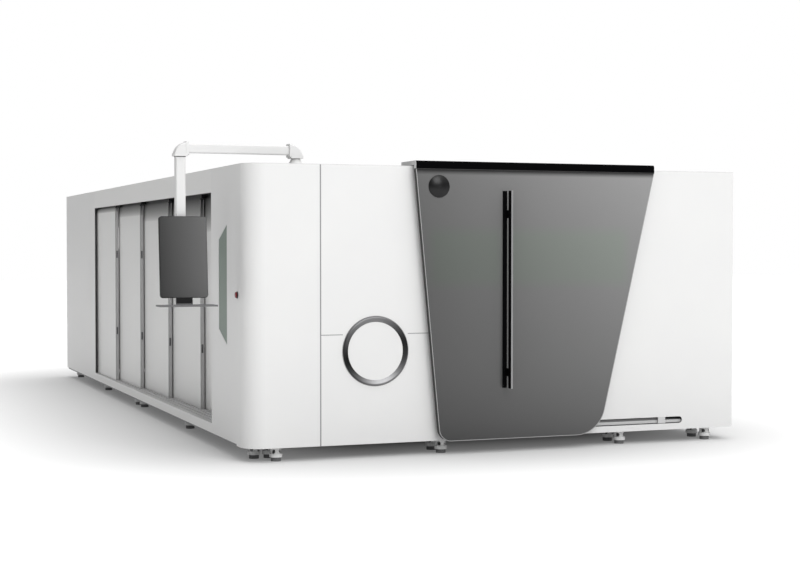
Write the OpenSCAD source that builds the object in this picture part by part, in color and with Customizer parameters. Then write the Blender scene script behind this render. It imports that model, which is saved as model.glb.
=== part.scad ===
// Enclosed sheet and tube laser cutting machine, in millimetres, +Z up.
// The origin is on the floor, below the middle of the whole machine.
// Inside the modules, x runs right from the left face and y runs back from the front face.

/* [Enclosure] */
// Width of the body, left face to right face
body_w = 4160; // [4000:10:4600]
// Length of the body, front face to rear face
body_l = 8260; // [8200:10:9200]
// Height of the roof above the floor
roof_z = 2205; // [2150:5:2400]
// Gap below the front skirt
skirt_z = 105; // [90:1:130]
// How much higher the side skirts end than the front skirt
skirt_step = 13; // [5:1:30]
// Thickness of the enclosure's sheet metal
sheet_t = 3; // [2:0.5:4]
// Radius of the big front left corner
corner_r = 150; // [110:5:180]
// Radius of the other upright corners
small_corner_r = 15; // [10:1:40]
// Width of the front corner panel
corner_panel_w = 579; // [500:1:640]
// Length of the corner panel along the left side
corner_panel_l = 250; // [230:1:300]
// Height of the seam between the two front panels
front_seam_z = 933; // [880:1:960]
// Width of the enclosure frame's channels
channel_w = 60; // [50:1:70]
// Thickness of the enclosure frame's channels
channel_t = 5; // [3:0.5:8]

/* [Front door] */
// How far the door stands proud of the front
door_proud = 77; // [70:1:90]
// Left top corner of the door, as a share of the body's width
left_top_share = 0.3147; // [0.305:0.0005:0.33]
// Left bottom corner of the door, as a share of the body's width
left_bottom_share = 0.3632; // [0.358:0.0005:0.373]
// Right top corner of the door, as a share of the body's width
right_top_share = 0.8101; // [0.795:0.0005:0.815]
// Right bottom corner of the door, as a share of the body's width
right_bottom_share = 0.6918; // [0.683:0.0005:0.7]
// Radius of the door's left bottom corner
door_left_r = 100; // [60:1:140]
// Radius of the door's right bottom corner
door_right_r = 256; // [200:1:280]
// Thickness of the door's metal rim
door_rim_t = 5; // [3:0.5:8]
// Gap behind the door's rim
door_gap = 32; // [25:1:38]
// Thickness of the tinted face
door_face_t = 6; // [4:0.5:8]
// Room between the open door's top corner and the right face
door_end_room = 90; // [60:1:150]
// Height of the hood above the roof
hood_h = 38; // [36:1:50]
// Depth of the hood, from the door's face to its back
hood_l = 309; // [280:1:340]
// Width of the doorway behind the door, as a share of the body's width
doorway_share = 0.1538; // [0.135:0.0005:0.158]
// Bottom of the doorway
doorway_z = 330; // [300:1:380]
// Height of the doorway
doorway_h = 1660; // [1500:1:1700]
// Length of the handle bar
handle_l = 1520; // [1300:1:1560]
// Width of the handle bar
handle_w = 20; // [16:1:28]
// Gap between the handle bar and the door
handle_gap = 50; // [40:1:60]
// Depth of the handle bar
handle_t = 46; // [36:1:56]
// Diameter of the blank disc
disc_d = 172; // [120:1:190]
// Height of the lower guide slot
slot_h = 54; // [48:1:60]

/* [Tube port] */
// Distance of the tube axis from the left face
tube_x = 1014; // [990:1:1040]
// Height of the tube axis
tube_z = 805; // [790:1:830]
// Outer diameter of the port ring
port_d = 521; // [500:1:550]
// Clear diameter of the port ring
port_bore = 440; // [400:1:450]

/* [Side opening] */
// Near end of the side opening, from the front face
side_y = 1004; // [980:1:1040]
// Length of the closed wall behind the side opening
far_panel_l = 1987; // [1850:1:2200]
// Height of the sill
sill_z = 194; // [185:1:215]
// Top of the side opening
side_top_z = 2019; // [1950:1:2030]
// Thickness of a leaf
leaf_t = 36; // [30:1:38]
// Distance from one track to the next
track_pitch = 46; // [44:1:52]
// Overlap of neighbouring leaves
leaf_overlap = 36; // [25:1:50]

/* [Pendant] */
// Place of the pendant base, from the left face
pendant_x = 516; // [490:1:560]
// Place of the pendant base, from the front face
pendant_y = 420; // [400:1:450]
// Length of the arm between its two upright axes
arm_l = 899; // [870:1:940]
// Height of the arm's axis above the roof
arm_z = 119; // [115:1:140]
// Height and width of the arm's square tube
arm_d = 68; // [60:1:76]
// Width of the square drop tube
drop_d = 72; // [65:1:84]
// Width of the control panel
panel_w = 357; // [330:1:390]
// Height of the control panel
panel_h = 604; // [560:1:640]
// Depth of the control panel
panel_d = 30; // [26:1:50]
// Width of the keyboard tray
tray_w = 424; // [380:1:450]

/* [Cutting system] */
// Height of the bed beams' top
beam_top_z = 1000; // [960:5:1040]
// Width of a bed beam
beam_w = 180; // [160:1:200]
// Left edge of the left bed beam, from the left face
bed_x = 1420; // [1400:1:1450]
// Room between the right bed beam and the right face
bed_right_room = 360; // [354:1:420]
// Room between the bed beams and the rear face
bed_rear_room = 360; // [300:10:500]
// Height of the gantry beam
gantry_h = 290; // [250:1:320]
// Depth of the gantry beam
gantry_d = 240; // [200:1:260]
// Outer diameter of a chuck housing
chuck_d = 450; // [420:1:460]
// Clear bore through the chucks
chuck_bore = 180; // [150:1:200]

/* [Side window] */
// Near edge of the window, from the front face
window_y = 520; // [480:1:560]
// Length of the window
window_l = 247; // [200:1:280]
// Height of the window's near edge
window_h = 922; // [820:1:940]
// Bottom of the window's near edge
window_z = 840; // [800:1:880]
// How much the window's bottom and top edges close in towards the far edge
window_rise = 115; // [60:1:130]
// Thickness of the window glass
glass_t = 6; // [4:0.5:8]

/* [Hidden] */
$fn = 96;
white = [0.93, 0.93, 0.93];
grey = [0.5, 0.5, 0.52];
dark = [0.16, 0.16, 0.17];
steel = [0.66, 0.67, 0.69];

// Clearances: between welded bars, on sliding guides and round turning pieces
weld_gap = 0.2;
slide_gap = 0.5;
turn_gap = 0.3;
// How far a cutting shape runs past what it cuts
over = 1;

// The whole machine's reach past the body, which places the origin in its middle
handle_strip_t = 3;
front_out = door_proud + handle_gap + handle_t + handle_strip_t;
spigot_l = 120;
pendant_out = arm_l - pendant_x + tray_w / 2;
left_x = (pendant_out - body_w) / 2;
front_y = (front_out - body_l - spigot_l) / 2;

// Levels of the walls
side_skirt_z = skirt_z + skirt_step;
wall_top_z = roof_z - sheet_t;
fold = 25;

// Base frame: a ring of bars below the sill, with bars across it above the feet
ring_w = 100;
ring_side_w = 192;
ring_front_y = 45;
ring_front_x = 80;
ring_top_z = sill_z - sheet_t;
foot_row_y = ring_front_y + ring_w / 2;
foot_pair = 195;
second_row_y = foot_row_y + foot_pair;
side_foot_in = 145;
front_feet_x = [for (share = [0.0623, 0.381, 0.7567, 0.949]) share * body_w];
side_feet_y = [for (share = [0.2851, 0.5212, 0.5525, 0.7584, 0.9818]) share * body_l];
pad_h = 30;
pad_d = 76;
sleeve_d = 80;
sleeve_wall = 8;
spindle_d = 30;
sleeve_hole_d = 31;
flange_d = 98;
flange_h = 26;

// The door's corners, its travel and the doorway behind it
door_left_top = left_top_share * body_w;
door_left_bottom = left_bottom_share * body_w;
door_right_top = right_top_share * body_w;
door_right_bottom = right_bottom_share * body_w;
door_travel = body_w - door_right_top - door_end_room;
doorway_lap = 33;
doorway_x = door_left_bottom + doorway_lap;
doorway_end_x = doorway_x + doorway_share * body_w;
doorway_top_z = doorway_z + doorway_h;

// Guide shoe of the door, its slot, rail and stop block
shoe_w = 80;
shoe_h = 20;
shoe_in = 166;
shoe_x = door_right_bottom - shoe_in;
slot_lift = 77;
slot_z = skirt_z + slot_lift;
slot_lap = 20;
stop_gap = 5;
stop_w = 65;
stop_in = 1;
rail_lift = 4;
slot_tail = 156;
stop_x = shoe_x + shoe_w / 2 + door_travel + stop_gap;
slot_x = shoe_x - shoe_w / 2 - slot_lap;
slot_end_x = stop_x + stop_w + slot_tail;
rail_y = 20;
fin_t = 8;
fin_h = 18;
rail_top_z = slot_z + 1;
shoe_y = rail_y + fin_t + 6;

// Door outline: its sides lean, and its bottom corners are round
door_top_drop = 22;
door_top_z = roof_z - door_top_drop;
lean_left = (door_left_bottom - door_left_top) / (roof_z - skirt_z);
lean_right = (door_right_top - door_right_bottom) / (roof_z - skirt_z);
function door_left(z, inset) =
    door_left_bottom - (z - skirt_z) * lean_left + inset * sqrt(1 + lean_left ^ 2);
function door_right(z, inset) =
    door_right_bottom + (z - skirt_z) * lean_right - inset * sqrt(1 + lean_right ^ 2);
face_gap = 0.5;
shell_t = 3;
shell_y = door_face_t - door_proud;
window_low_z = 1300;
window_high_z = 1720;
window_in = 21;
window_gap = 10;
groove_drop = 45;
groove_z = roof_z - groove_drop;
groove_h = 5;
groove_t = 2;
groove_in = 51;

// Handle, its back plate and the disc on the door's face
handle_x = 0.4923 * body_w;
handle_z = 501;
handle_edge_r = 3;
handle_shift = 17;
handle_plate_w = 37;
handle_plate_t = 3;
standoff_w = 16;
standoff_h = 60;
standoff_z = [handle_z + 121, handle_z + handle_l - 178];
disc_x = 0.3603 * body_w;
disc_z = 2049;
disc_t = 24;
disc_dome_r = 190;

// Hood over the door's top rail
hood_t = 4;
hood_r = 20;
hood_top_z = roof_z + hood_h;
hood_back_y = hood_l - door_proud;
hood_lift = 3;
top_rail_w = 30;
top_rail_h = 8;
top_rail_y = 185;
hanger_x = [0.5168 * body_w, 0.7812 * body_w];
hanger_l = 120;
rail_notch = 12;
hanger_wall = 5;

// Leaves of the side opening and their tracks; leaf 1 is the outermost and farthest
leaf_count = 5;
first_track = 36;
side_l = body_l - side_y - far_panel_l;
leaf_pitch = side_l / leaf_count;
leaf_l = leaf_pitch + leaf_overlap;
leaf_end_gap = 30;
side_end_y = side_y + side_l;
far_post_gap = 11;
far_post_y = side_y + leaf_end_gap + (leaf_count - 1) * leaf_pitch + leaf_l + far_post_gap;
tracks_w = first_track + (leaf_count - 1) * track_pitch + leaf_t + 6;
track_rail_w = 8;
track_rail_h = 6;
track_top_z = sill_z + track_rail_h;
leaf_foot = 4;
leaf_gap = 14;
leaf_top_z = side_top_z - leaf_gap;
fin_top_z = side_top_z + 37;
shelf_z = side_top_z + 45;
rib_w = 6;
rib_low_z = side_top_z + 19;
rib_gap = 2;
rib_x = track_rail_w / 2 + rib_gap + rib_w / 2;
pull_w = 12;
pull_h = 70;
pull_t = 8;
pull_z = [715, 1515];
function leaf_x(i) = first_track + (i - 1) * track_pitch;
function leaf_y(i) = side_y + leaf_end_gap + (leaf_count - i) * leaf_pitch;

// Tube port
port_lip = 8;
port_seat = 4;
port_wall = 6;
port_depth = 50;
port_proud = 14;
port_sleeve_r = port_bore / 2 + port_wall;

// Cutting system: bed beams, ledges, pallets and gantry
bed_y = 450;
bed_w = body_w - bed_x - 2 * beam_w - bed_right_room;
bed_l = body_l - bed_y - bed_rear_room;
bed_end_room = 850;
pallet_l = (bed_l - bed_end_room) / 2;
scrap_tray_h = 110;
bed_right_x = bed_x + beam_w + bed_w;
beam_wall = 15;
ledge_w = 60;
ledge_t = 20;
pallet_levels = [480, 700];
pallet_y = 900;
pallet_gap = 100;
pallet_side_gap = 10;
pallet_bar_w = 50;
pallet_bar_h = 60;
slat_t = 5;
slat_pitch = 150;
slat_h = 75;
tooth_pitch = 120;
tooth_h = 18;
gantry_rail_w = 40;
gantry_rail_h = 30;
rail_end_room = 250;
truck_l = 500;
truck_front = 160;
truck_t = 50;
truck_z = beam_top_z + gantry_rail_h;
truck_block_h = 30;
truck_block_w = 110;
truck_block_l = 120;
gantry_z = truck_z + truck_block_h + truck_t;
gantry_y = 1400;
gantry_reach = 260;
gantry_travel_room = 300;
gantry_travel = pallet_l - gantry_travel_room;
gantry_rail_y = gantry_y - truck_front - rail_end_room;
gantry_x = tube_x - gantry_reach;
gantry_end = 60;
gantry_end_x = bed_right_x + beam_w + gantry_end;
gantry_wall = 12;
head_rail_w = 30;
head_rail_t = 18;
head_rail_in = 50;
head_rail_z = [gantry_z + head_rail_in, gantry_z + gantry_h - head_rail_in];
head_x = 1900;
carriage_w = 220;
carriage_t = 30;
slide_w = 110;
slide_t = 22;
slide_h = 420;
head_d = 90;
head_h = 560;
head_neck = 10;
head_lap = 10;
nozzle_z = 1040;
nozzle_d = 14;

// Tube lane: bed, rails, chucks
tube_bed_w = 440;
tube_bed_y = 1200;
tube_rear_room = 560;
tube_bed_l = body_l - tube_bed_y - tube_rear_room;
tube_bed_z = 480;
tube_bed_wall = 20;
chuck_rail_w = 40;
chuck_rail_h = 30;
chuck_rail_in = 36;
chuck_rail_y = 2000;
chuck_base_w = 400;
chuck_base_drop = 100;
front_chuck_y = 1300;
chuck_l = 260;
rear_chuck_in = 550;
rear_chuck_y = tube_bed_y + tube_bed_l - rear_chuck_in;
rotor_d = 300;
rotor_nose = 30;
nose_lip = 30;
jaw_w = 50;
jaw_t = 35;
jaw_l = 45;

// Cabinets behind the right side
cabinet_gap = 20;
cabinet_w = 270;
cabinet_rear_room = 460;
cabinet_step = 300;
source_l = 950;
source_h = 1110;
electric_l = 1300;
electric_h = 1800;
electric_y = body_l - cabinet_rear_room - electric_l;
source_y = electric_y - cabinet_step - source_l;
cabinet_groove = 4;

// Rear sheet opening and exhaust
rear_open_in = 40;
rear_open_z = 440;
rear_open_h = 520;
rear_open_x = bed_x + beam_w + rear_open_in;
rear_open_end_x = bed_right_x - rear_open_in;
spigot_d = 300;
spigot_wall = 4;
spigot_flange = 40;
spigot_x = 700;
spigot_z = 1700;

// Emergency stop
estop_y = 216;
estop_z = 1233;
estop_d = 44;
estop_stem_d = 18;
estop_collar_d = 52;
estop_collar_t = 4;
estop_travel_gap = 5;
estop_stem_l = 20;

// Pendant
arm_axis_z = roof_z + arm_z;
elbow_r = 60;
elbow_h = 96;
elbow_w = 92;
tube_edge_r = 10;
base_cone_d = 120;
base_neck_d = 66;
collar_t = 22;
collar_lip = 3;
arm_foot_z = arm_axis_z - elbow_r;
base_flange_d = 150;
base_flange_t = 8;
drop_x = pendant_x - arm_l;
panel_top_z = 1813;
panel_tilt = 5;
panel_r = 22;
pin_drop = 113;
pin_out = 18;
pin_y = -drop_d / 2 - pin_out;
pin_z = panel_top_z - pin_drop;
lug_r = 14;
lug_w = 46;
cheek_t = 10;
cheek_gap = 0.5;
cheek_r = 12;
pin_d = 12;
drop_end = 40;
screen_t = 3;
screen_in = 3;
bracket_w = 120;
bracket_h = 44;
tray_front = 300;
tray_back = 128;
tray_t = 12;
tray_top_z = panel_top_z - panel_h - bracket_h;

// Moves the origin to the floor below the body's front left corner
module at_corner() {
    translate([left_x, front_y, 0]) children();
}

// A box between two opposite corners
module block(low, high) {
    translate(low) cube(high - low);
}

// A flat shape drawn in x and z, extruded back from y
module plate_xz(y, t) {
    translate([0, y + t, 0]) rotate([90, 0, 0]) linear_extrude(t) children();
}

// A flat shape drawn in y and z, extruded right from x
module plate_yz(x, t) {
    translate([x, 0, 0]) rotate([90, 0, 90]) linear_extrude(t) children();
}

// A round bar along y
module bar_y(x, y, z, d, l) {
    translate([x, y, z]) rotate([-90, 0, 0]) cylinder(d = d, h = l);
}

// A round bar along x
module bar_x(x, y, z, d, l) {
    translate([x, y, z]) rotate([0, 90, 0]) cylinder(d = d, h = l);
}

// A quarter-round upright wall whose outer faces run into x = 0 and y = 0
module round_corner(r, low_z, high_z) {
    translate([r, r, low_z]) rotate(180) rotate_extrude(angle = 90)
        translate([r - sheet_t, 0]) square([sheet_t, high_z - low_z]);
}

// What a round upright corner takes off a square one at x = 0 and y = 0
module corner_cut(r, low_z, high_z) {
    translate([0, 0, low_z]) linear_extrude(high_z - low_z) difference() {
        translate([-over, -over]) square(r + over);
        translate([r, r]) circle(r);
    }
}

// Left-right and front-back mirrored copies for the body's other corners
module from_right() {
    translate([body_w, 0, 0]) mirror([1, 0, 0]) children();
}

module from_rear() {
    translate([0, body_l, 0]) mirror([0, 1, 0]) children();
}

// Base frame and bed

// A ring of bars and bars across it, butt welded with a hairline seam
module base_frame() color(grey) at_corner() {
    left_end_x = sheet_t + ring_side_w;
    right_x = body_w - sheet_t - ring_side_w;
    rear_y = body_l - sheet_t - ring_w;
    side_start_y = ring_front_y + ring_w + weld_gap;
    block([ring_front_x, ring_front_y, skirt_z],
          [body_w - small_corner_r, ring_front_y + ring_w, ring_top_z]);
    block([sheet_t, max(corner_r, side_start_y), skirt_z], [left_end_x, rear_y - weld_gap, ring_top_z]);
    block([right_x, side_start_y, skirt_z], [body_w - sheet_t, rear_y - weld_gap, ring_top_z]);
    block([small_corner_r, rear_y, skirt_z], [body_w - small_corner_r, rear_y + ring_w, ring_top_z]);
    bed_bars_y = [bed_y + ring_w / 2, bed_y + bed_l - ring_w / 2];
    for (y = concat([second_row_y], bed_bars_y, [for (i = [0 : len(side_feet_y) - 2]) side_feet_y[i]]))
        block([left_end_x + weld_gap, y - ring_w / 2, skirt_z],
              [right_x - weld_gap, y + ring_w / 2, ring_top_z]);
}

// A hollow box beam along y, welded from four plates
module box_beam(low, high, wall) {
    for (z = [low.z, high.z - wall])
        block([low.x, low.y, z], [high.x, high.y, z + wall]);
    for (x = [low.x, high.x - wall])
        block([x, low.y, low.z + wall + weld_gap], [x + wall, high.y, high.z - wall - weld_gap]);
}

// One hollow bed beam with two ledges that carry the pallets, on the beam's inner side
module bed_beam() {
    box_beam([0, bed_y, ring_top_z], [beam_w, bed_y + bed_l, beam_top_z], beam_wall);
    for (z = pallet_levels)
        block([beam_w + weld_gap, bed_y, z - ledge_t], [beam_w + ledge_w, bed_y + bed_l, z]);
}

module bed_beams() color(grey) at_corner() {
    translate([bed_x, 0, 0]) bed_beam();
    translate([bed_right_x + beam_w, 0, 0]) mirror([1, 0, 0]) bed_beam();
}

module gantry_rails() color(steel) at_corner() {
    rail_l = gantry_travel + truck_l + 2 * rail_end_room;
    for (x = [bed_x, bed_right_x])
        translate([x + (beam_w - gantry_rail_w) / 2, gantry_rail_y, beam_top_z])
            cube([gantry_rail_w, rail_l, gantry_rail_h]);
}

// An open pan below the pallets that catches slag and small offcuts
module scrap_tray() color(steel) at_corner() {
    pan = [bed_w - 2 * ledge_w, pallet_l, scrap_tray_h];
    translate([bed_x + beam_w + ledge_w, pallet_y, ring_top_z]) difference() {
        cube(pan);
        translate([sheet_t, sheet_t, sheet_t]) cube(pan - [2 * sheet_t, 2 * sheet_t, 0]);
    }
}

// Tube lane

module tube_bed() color(grey) at_corner() {
    end_y = tube_bed_y + tube_bed_l;
    box_beam([tube_x - tube_bed_w / 2, tube_bed_y, ring_top_z],
             [tube_x + tube_bed_w / 2, end_y, tube_bed_z], tube_bed_wall);
    for (side = [-1, 1])
        translate([tube_x + side * chuck_rail_x() - chuck_rail_w / 2, chuck_rail_y, tube_bed_z + weld_gap])
            cube([chuck_rail_w, end_y - chuck_rail_y, chuck_rail_h - weld_gap]);
}

function chuck_rail_x() = tube_bed_w / 2 - chuck_rail_in - chuck_rail_w / 2;

// A chuck housing: a thick ring on a block, from y back, standing at height base_z
module chuck_housing(y, base_z) {
    difference() {
        union() {
            bar_y(tube_x, y, tube_z, chuck_d, chuck_l);
            block([tube_x - chuck_base_w / 2, y, base_z],
                  [tube_x + chuck_base_w / 2, y + chuck_l, tube_z - chuck_base_drop]);
        }
        bar_y(tube_x, y - over, tube_z, rotor_d + 2 * turn_gap, chuck_l + 2 * over);
    }
}

// A chuck's turning sleeve, with a nose in front of the housing and four jaws round its bore
module chuck_rotor(y) {
    difference() {
        union() {
            bar_y(tube_x, y - turn_gap, tube_z, rotor_d, chuck_l + turn_gap);
            bar_y(tube_x, y - turn_gap - rotor_nose, tube_z, rotor_d + 2 * nose_lip, rotor_nose);
        }
        bar_y(tube_x, y - rotor_nose - over, tube_z, chuck_bore, chuck_l + rotor_nose + 2 * over);
    }
    for (turn = [0 : 90 : 270])
        translate([tube_x, y - turn_gap - rotor_nose - weld_gap, tube_z]) rotate([0, turn, 0])
            block([chuck_bore / 2 - jaw_t, -jaw_l, -jaw_w / 2], [rotor_d / 2, 0, jaw_w / 2]);
}

module front_chuck_housing() color(grey) at_corner() chuck_housing(front_chuck_y, tube_bed_z);

module front_chuck_rotor() color(steel) at_corner() chuck_rotor(front_chuck_y);

// The rear chuck stands on grooved shoes that run on the tube bed's rails
module rear_chuck_carriage() color(grey) at_corner() difference() {
    chuck_housing(rear_chuck_y, tube_bed_z + weld_gap + slide_gap);
    for (side = [-1, 1])
        translate([tube_x + side * chuck_rail_x(), rear_chuck_y - over, tube_bed_z])
            translate([-chuck_rail_w / 2 - slide_gap, 0, 0])
                cube([chuck_rail_w + 2 * slide_gap, chuck_l + 2 * over, chuck_rail_h]);
}

module rear_chuck_rotor() color(steel) at_corner() chuck_rotor(rear_chuck_y);

// Enclosure frame and panels

// An upright folded channel with its web on y = 0 and its open side to the back
module post(l) {
    linear_extrude(l) difference() {
        square(channel_w);
        translate([channel_t, channel_t]) square([channel_w - 2 * channel_t, channel_w]);
    }
}

// A level folded channel along x, open below
module top_bar(l) {
    translate([0, 0, channel_w]) rotate([0, 90, 0]) linear_extrude(l) difference() {
        square(channel_w);
        translate([channel_t, channel_t]) square([channel_w, channel_w - 2 * channel_t]);
    }
}

module enclosure_frame() color(grey) at_corner() {
    bar_z = wall_top_z - channel_w;
    post_l = bar_z - ring_top_z - weld_gap;
    last_post_y = body_l - small_corner_r - channel_w;
    left_posts = [corner_panel_l + sheet_t, side_y - channel_w, far_post_y, last_post_y];
    right_posts = [small_corner_r + channel_w, (body_l - channel_w) / 2, last_post_y];
    front_posts = [corner_panel_w + sheet_t, doorway_x - channel_w, doorway_end_x + sheet_t];
    rear_posts = [rear_open_x - channel_w, rear_open_end_x];
    inner_w = body_w - 2 * (sheet_t + channel_w + weld_gap);
    side_bar_y = max(corner_r, small_corner_r + channel_w);
    for (y = left_posts)
        translate([sheet_t, y + channel_w, ring_top_z]) rotate(-90) post(post_l);
    for (y = right_posts)
        translate([body_w - sheet_t, y, ring_top_z]) rotate(90) post(post_l);
    for (x = front_posts)
        translate([x, sheet_t, ring_top_z]) post(post_l);
    for (x = rear_posts)
        translate([x + channel_w, body_l - sheet_t, ring_top_z]) rotate(180) post(post_l);
    translate([corner_r, sheet_t, bar_z]) top_bar(body_w - corner_r - small_corner_r);
    translate([small_corner_r, body_l - sheet_t - channel_w, bar_z]) top_bar(body_w - 2 * small_corner_r);
    for (x = [sheet_t, body_w - sheet_t - channel_w])
        translate([x + channel_w, side_bar_y, bar_z]) rotate(90)
            top_bar(body_l - side_bar_y - sheet_t - channel_w - weld_gap);
    for (part = [0.25, 0.5, 0.75])
        translate([sheet_t + channel_w + weld_gap, part * body_l - channel_w / 2, bar_z]) top_bar(inner_w);
}

module front_corner_panel() color(white) at_corner() difference() {
    union() {
        round_corner(corner_r, skirt_z, wall_top_z);
        block([corner_r, 0, skirt_z], [corner_panel_w, sheet_t, wall_top_z]);
        block([0, corner_r, skirt_z], [sheet_t, corner_panel_l, wall_top_z]);
        block([corner_panel_w - sheet_t, 0, ring_top_z], [corner_panel_w, fold, wall_top_z - channel_w]);
    }
    bar_x(-over, estop_y, estop_z, estop_stem_d + 2 * slide_gap, sheet_t + 2 * over);
}

// The hole that the port ring's sleeve passes through
module port_hole() {
    bar_y(tube_x, -over, tube_z, 2 * (port_sleeve_r + slide_gap), fold + 2 * over);
}

module front_upper_panel() color(white) at_corner() difference() {
    union() {
        block([corner_panel_w, 0, front_seam_z], [doorway_x, sheet_t, wall_top_z]);
        block([corner_panel_w + sheet_t + channel_w, 0, front_seam_z],
              [doorway_x - channel_w, fold, front_seam_z + sheet_t]);
    }
    port_hole();
}

module front_lower_panel() color(white) at_corner() difference() {
    union() {
        block([corner_panel_w, 0, skirt_z], [doorway_x, sheet_t, front_seam_z]);
        block([corner_panel_w + sheet_t + channel_w, 0, front_seam_z - sheet_t],
              [doorway_x - channel_w, fold, front_seam_z]);
        block([corner_panel_w, 0, skirt_z], [doorway_x, ring_front_y, skirt_z + sheet_t]);
    }
    port_hole();
}

module doorway_lintel() color(white) at_corner() {
    block([doorway_x, 0, doorway_top_z], [doorway_end_x, sheet_t, wall_top_z]);
    block([doorway_x, 0, doorway_top_z], [doorway_end_x, fold, doorway_top_z + sheet_t]);
}

module doorway_sill() color(white) at_corner() {
    block([doorway_x, 0, skirt_z], [doorway_end_x, sheet_t, doorway_z]);
    block([doorway_x, 0, doorway_z - sheet_t], [doorway_end_x, fold, doorway_z]);
    block([doorway_x, 0, skirt_z], [doorway_end_x, ring_front_y, skirt_z + sheet_t]);
}

module front_right_panel() color(white) at_corner() difference() {
    union() {
        block([doorway_end_x, 0, skirt_z], [body_w - small_corner_r, sheet_t, wall_top_z]);
        from_right() round_corner(small_corner_r, skirt_z, wall_top_z);
        block([doorway_end_x, 0, skirt_z], [body_w - small_corner_r, ring_front_y, skirt_z + sheet_t]);
    }
    for (x = [slot_x + slot_h / 2, slot_end_x - slot_h / 2])
        bar_y(x, -over, slot_z, slot_h, sheet_t + 2 * over);
    block([slot_x + slot_h / 2, -over, slot_z - slot_h / 2],
          [slot_end_x - slot_h / 2, sheet_t + over, slot_z + slot_h / 2]);
}

// Outline of the side window, or of its glass with a margin all round
module window_outline(margin) {
    near = window_y - margin;
    far = window_y + window_l + margin;
    polygon([
        [near, window_z - margin],
        [far, window_z + window_rise - margin],
        [far, window_z + window_h - window_rise + margin],
        [near, window_z + window_h + margin]
    ]);
}

module left_near_panel() color(white) at_corner() difference() {
    union() {
        block([0, corner_panel_l, side_skirt_z], [sheet_t, side_y, wall_top_z]);
        block([0, corner_panel_l, ring_top_z], [fold, corner_panel_l + sheet_t, wall_top_z - channel_w]);
    }
    plate_yz(-over, sheet_t + 2 * over) window_outline(0);
}

module side_window() color([0.47, 0.5, 0.48]) at_corner() plate_yz(sheet_t, glass_t) window_outline(20);

module left_far_panel() color(white) at_corner() {
    block([0, side_end_y, side_skirt_z], [sheet_t, body_l - small_corner_r, wall_top_z]);
}

// Folded header with the leaves' upper guides below its shelf
module side_header() color(white) at_corner() {
    block([0, side_y, side_top_z], [sheet_t, side_end_y, wall_top_z]);
    block([sheet_t + weld_gap, side_y, shelf_z], [tracks_w, far_post_y, shelf_z + sheet_t]);
    for (i = [1 : leaf_count])
        for (side = [-1, 1])
            translate([leaf_x(i) + leaf_t / 2 + side * rib_x - rib_w / 2, side_y, rib_low_z])
                cube([rib_w, far_post_y - side_y, shelf_z - weld_gap - rib_low_z]);
}

// Folded sill with one rail for each leaf
module side_sill() color(grey) at_corner() {
    block([0, side_y, side_skirt_z], [sheet_t, side_end_y, sill_z]);
    block([sheet_t + weld_gap, side_y, sill_z - sheet_t], [tracks_w, far_post_y, sill_z]);
    for (i = [1 : leaf_count])
        translate([leaf_x(i) + (leaf_t - track_rail_w) / 2, side_y, sill_z + weld_gap])
            cube([track_rail_w, far_post_y - side_y, track_rail_h - weld_gap]);
}

module right_panels() color(white) at_corner() {
    seam_y = body_l / 2;
    for (span = [[small_corner_r, seam_y - weld_gap], [seam_y, body_l - small_corner_r]])
        block([body_w - sheet_t, span[0], side_skirt_z], [body_w, span[1], wall_top_z]);
}

module rear_panel() color(white) at_corner() difference() {
    union() {
        from_rear() round_corner(small_corner_r, side_skirt_z, wall_top_z);
        from_rear() from_right() round_corner(small_corner_r, side_skirt_z, wall_top_z);
        block([small_corner_r, body_l - sheet_t, side_skirt_z],
              [body_w - small_corner_r, body_l, wall_top_z]);
    }
    block([rear_open_x, body_l - sheet_t - over, rear_open_z],
          [rear_open_end_x, body_l + over, rear_open_z + rear_open_h]);
    bar_y(spigot_x, body_l - sheet_t - over, spigot_z, spigot_d - 2 * spigot_wall, sheet_t + 2 * over);
}

module roof_panels() color(white) at_corner() difference() {
    for (span = [[0, body_l / 2 - weld_gap], [body_l / 2, body_l]])
        block([0, span[0], wall_top_z], [body_w, span[1], roof_z]);
    corner_cut(corner_r, wall_top_z - over, roof_z + over);
    from_right() corner_cut(small_corner_r, wall_top_z - over, roof_z + over);
    from_rear() corner_cut(small_corner_r, wall_top_z - over, roof_z + over);
    from_rear() from_right() corner_cut(small_corner_r, wall_top_z - over, roof_z + over);
}

// Tube port

// A turned ring: a chamfered flange on the front panels and a sleeve with a seat for the cover
module tube_port_ring() color(steel) at_corner() translate([tube_x, 0, tube_z]) rotate([90, 0, 0])
    rotate_extrude() polygon([
        [port_sleeve_r, 0],
        [port_d / 2, 0],
        [port_d / 2 - 3, port_proud - 3],
        [port_d / 2 - 8, port_proud],
        [port_d / 2 - 14, port_proud],
        [port_bore / 2, 0],
        [port_bore / 2, -port_seat],
        [port_bore / 2 - port_lip, -port_seat],
        [port_bore / 2 - port_lip, -port_seat - 4],
        [port_bore / 2, -port_seat - 8],
        [port_bore / 2, -port_depth],
        [port_sleeve_r, -port_depth]
    ]);

module tube_port_cover() color(white) at_corner()
    bar_y(tube_x, 0, tube_z, port_bore - 2 * slide_gap, port_seat);

// Door rails

module door_top_rail() color(steel) at_corner() {
    end_room = 60;
    translate([hanger_x[0] - hanger_l / 2 - end_room, top_rail_y, roof_z])
        cube([hanger_x[1] - hanger_x[0] + hanger_l + 2 * end_room + door_travel, top_rail_w, top_rail_h]);
}

// Lower guide rail with its fin, and the stop block at its end
module door_lower_rail() color(steel) at_corner() {
    rail_h = slot_h / 2 - rail_lift;
    block([slot_x, rail_y, rail_top_z - rail_h], [slot_end_x, ring_front_y, rail_top_z]);
    block([slot_x, rail_y, rail_top_z], [stop_x - weld_gap, rail_y + fin_t, rail_top_z + fin_h]);
    block([stop_x, stop_in, slot_z - slot_h / 2 + rail_lift],
          [stop_x + stop_w, rail_y - weld_gap, slot_z + slot_h / 2 - slide_gap]);
}

// Cabinets, exhaust, feet

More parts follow.
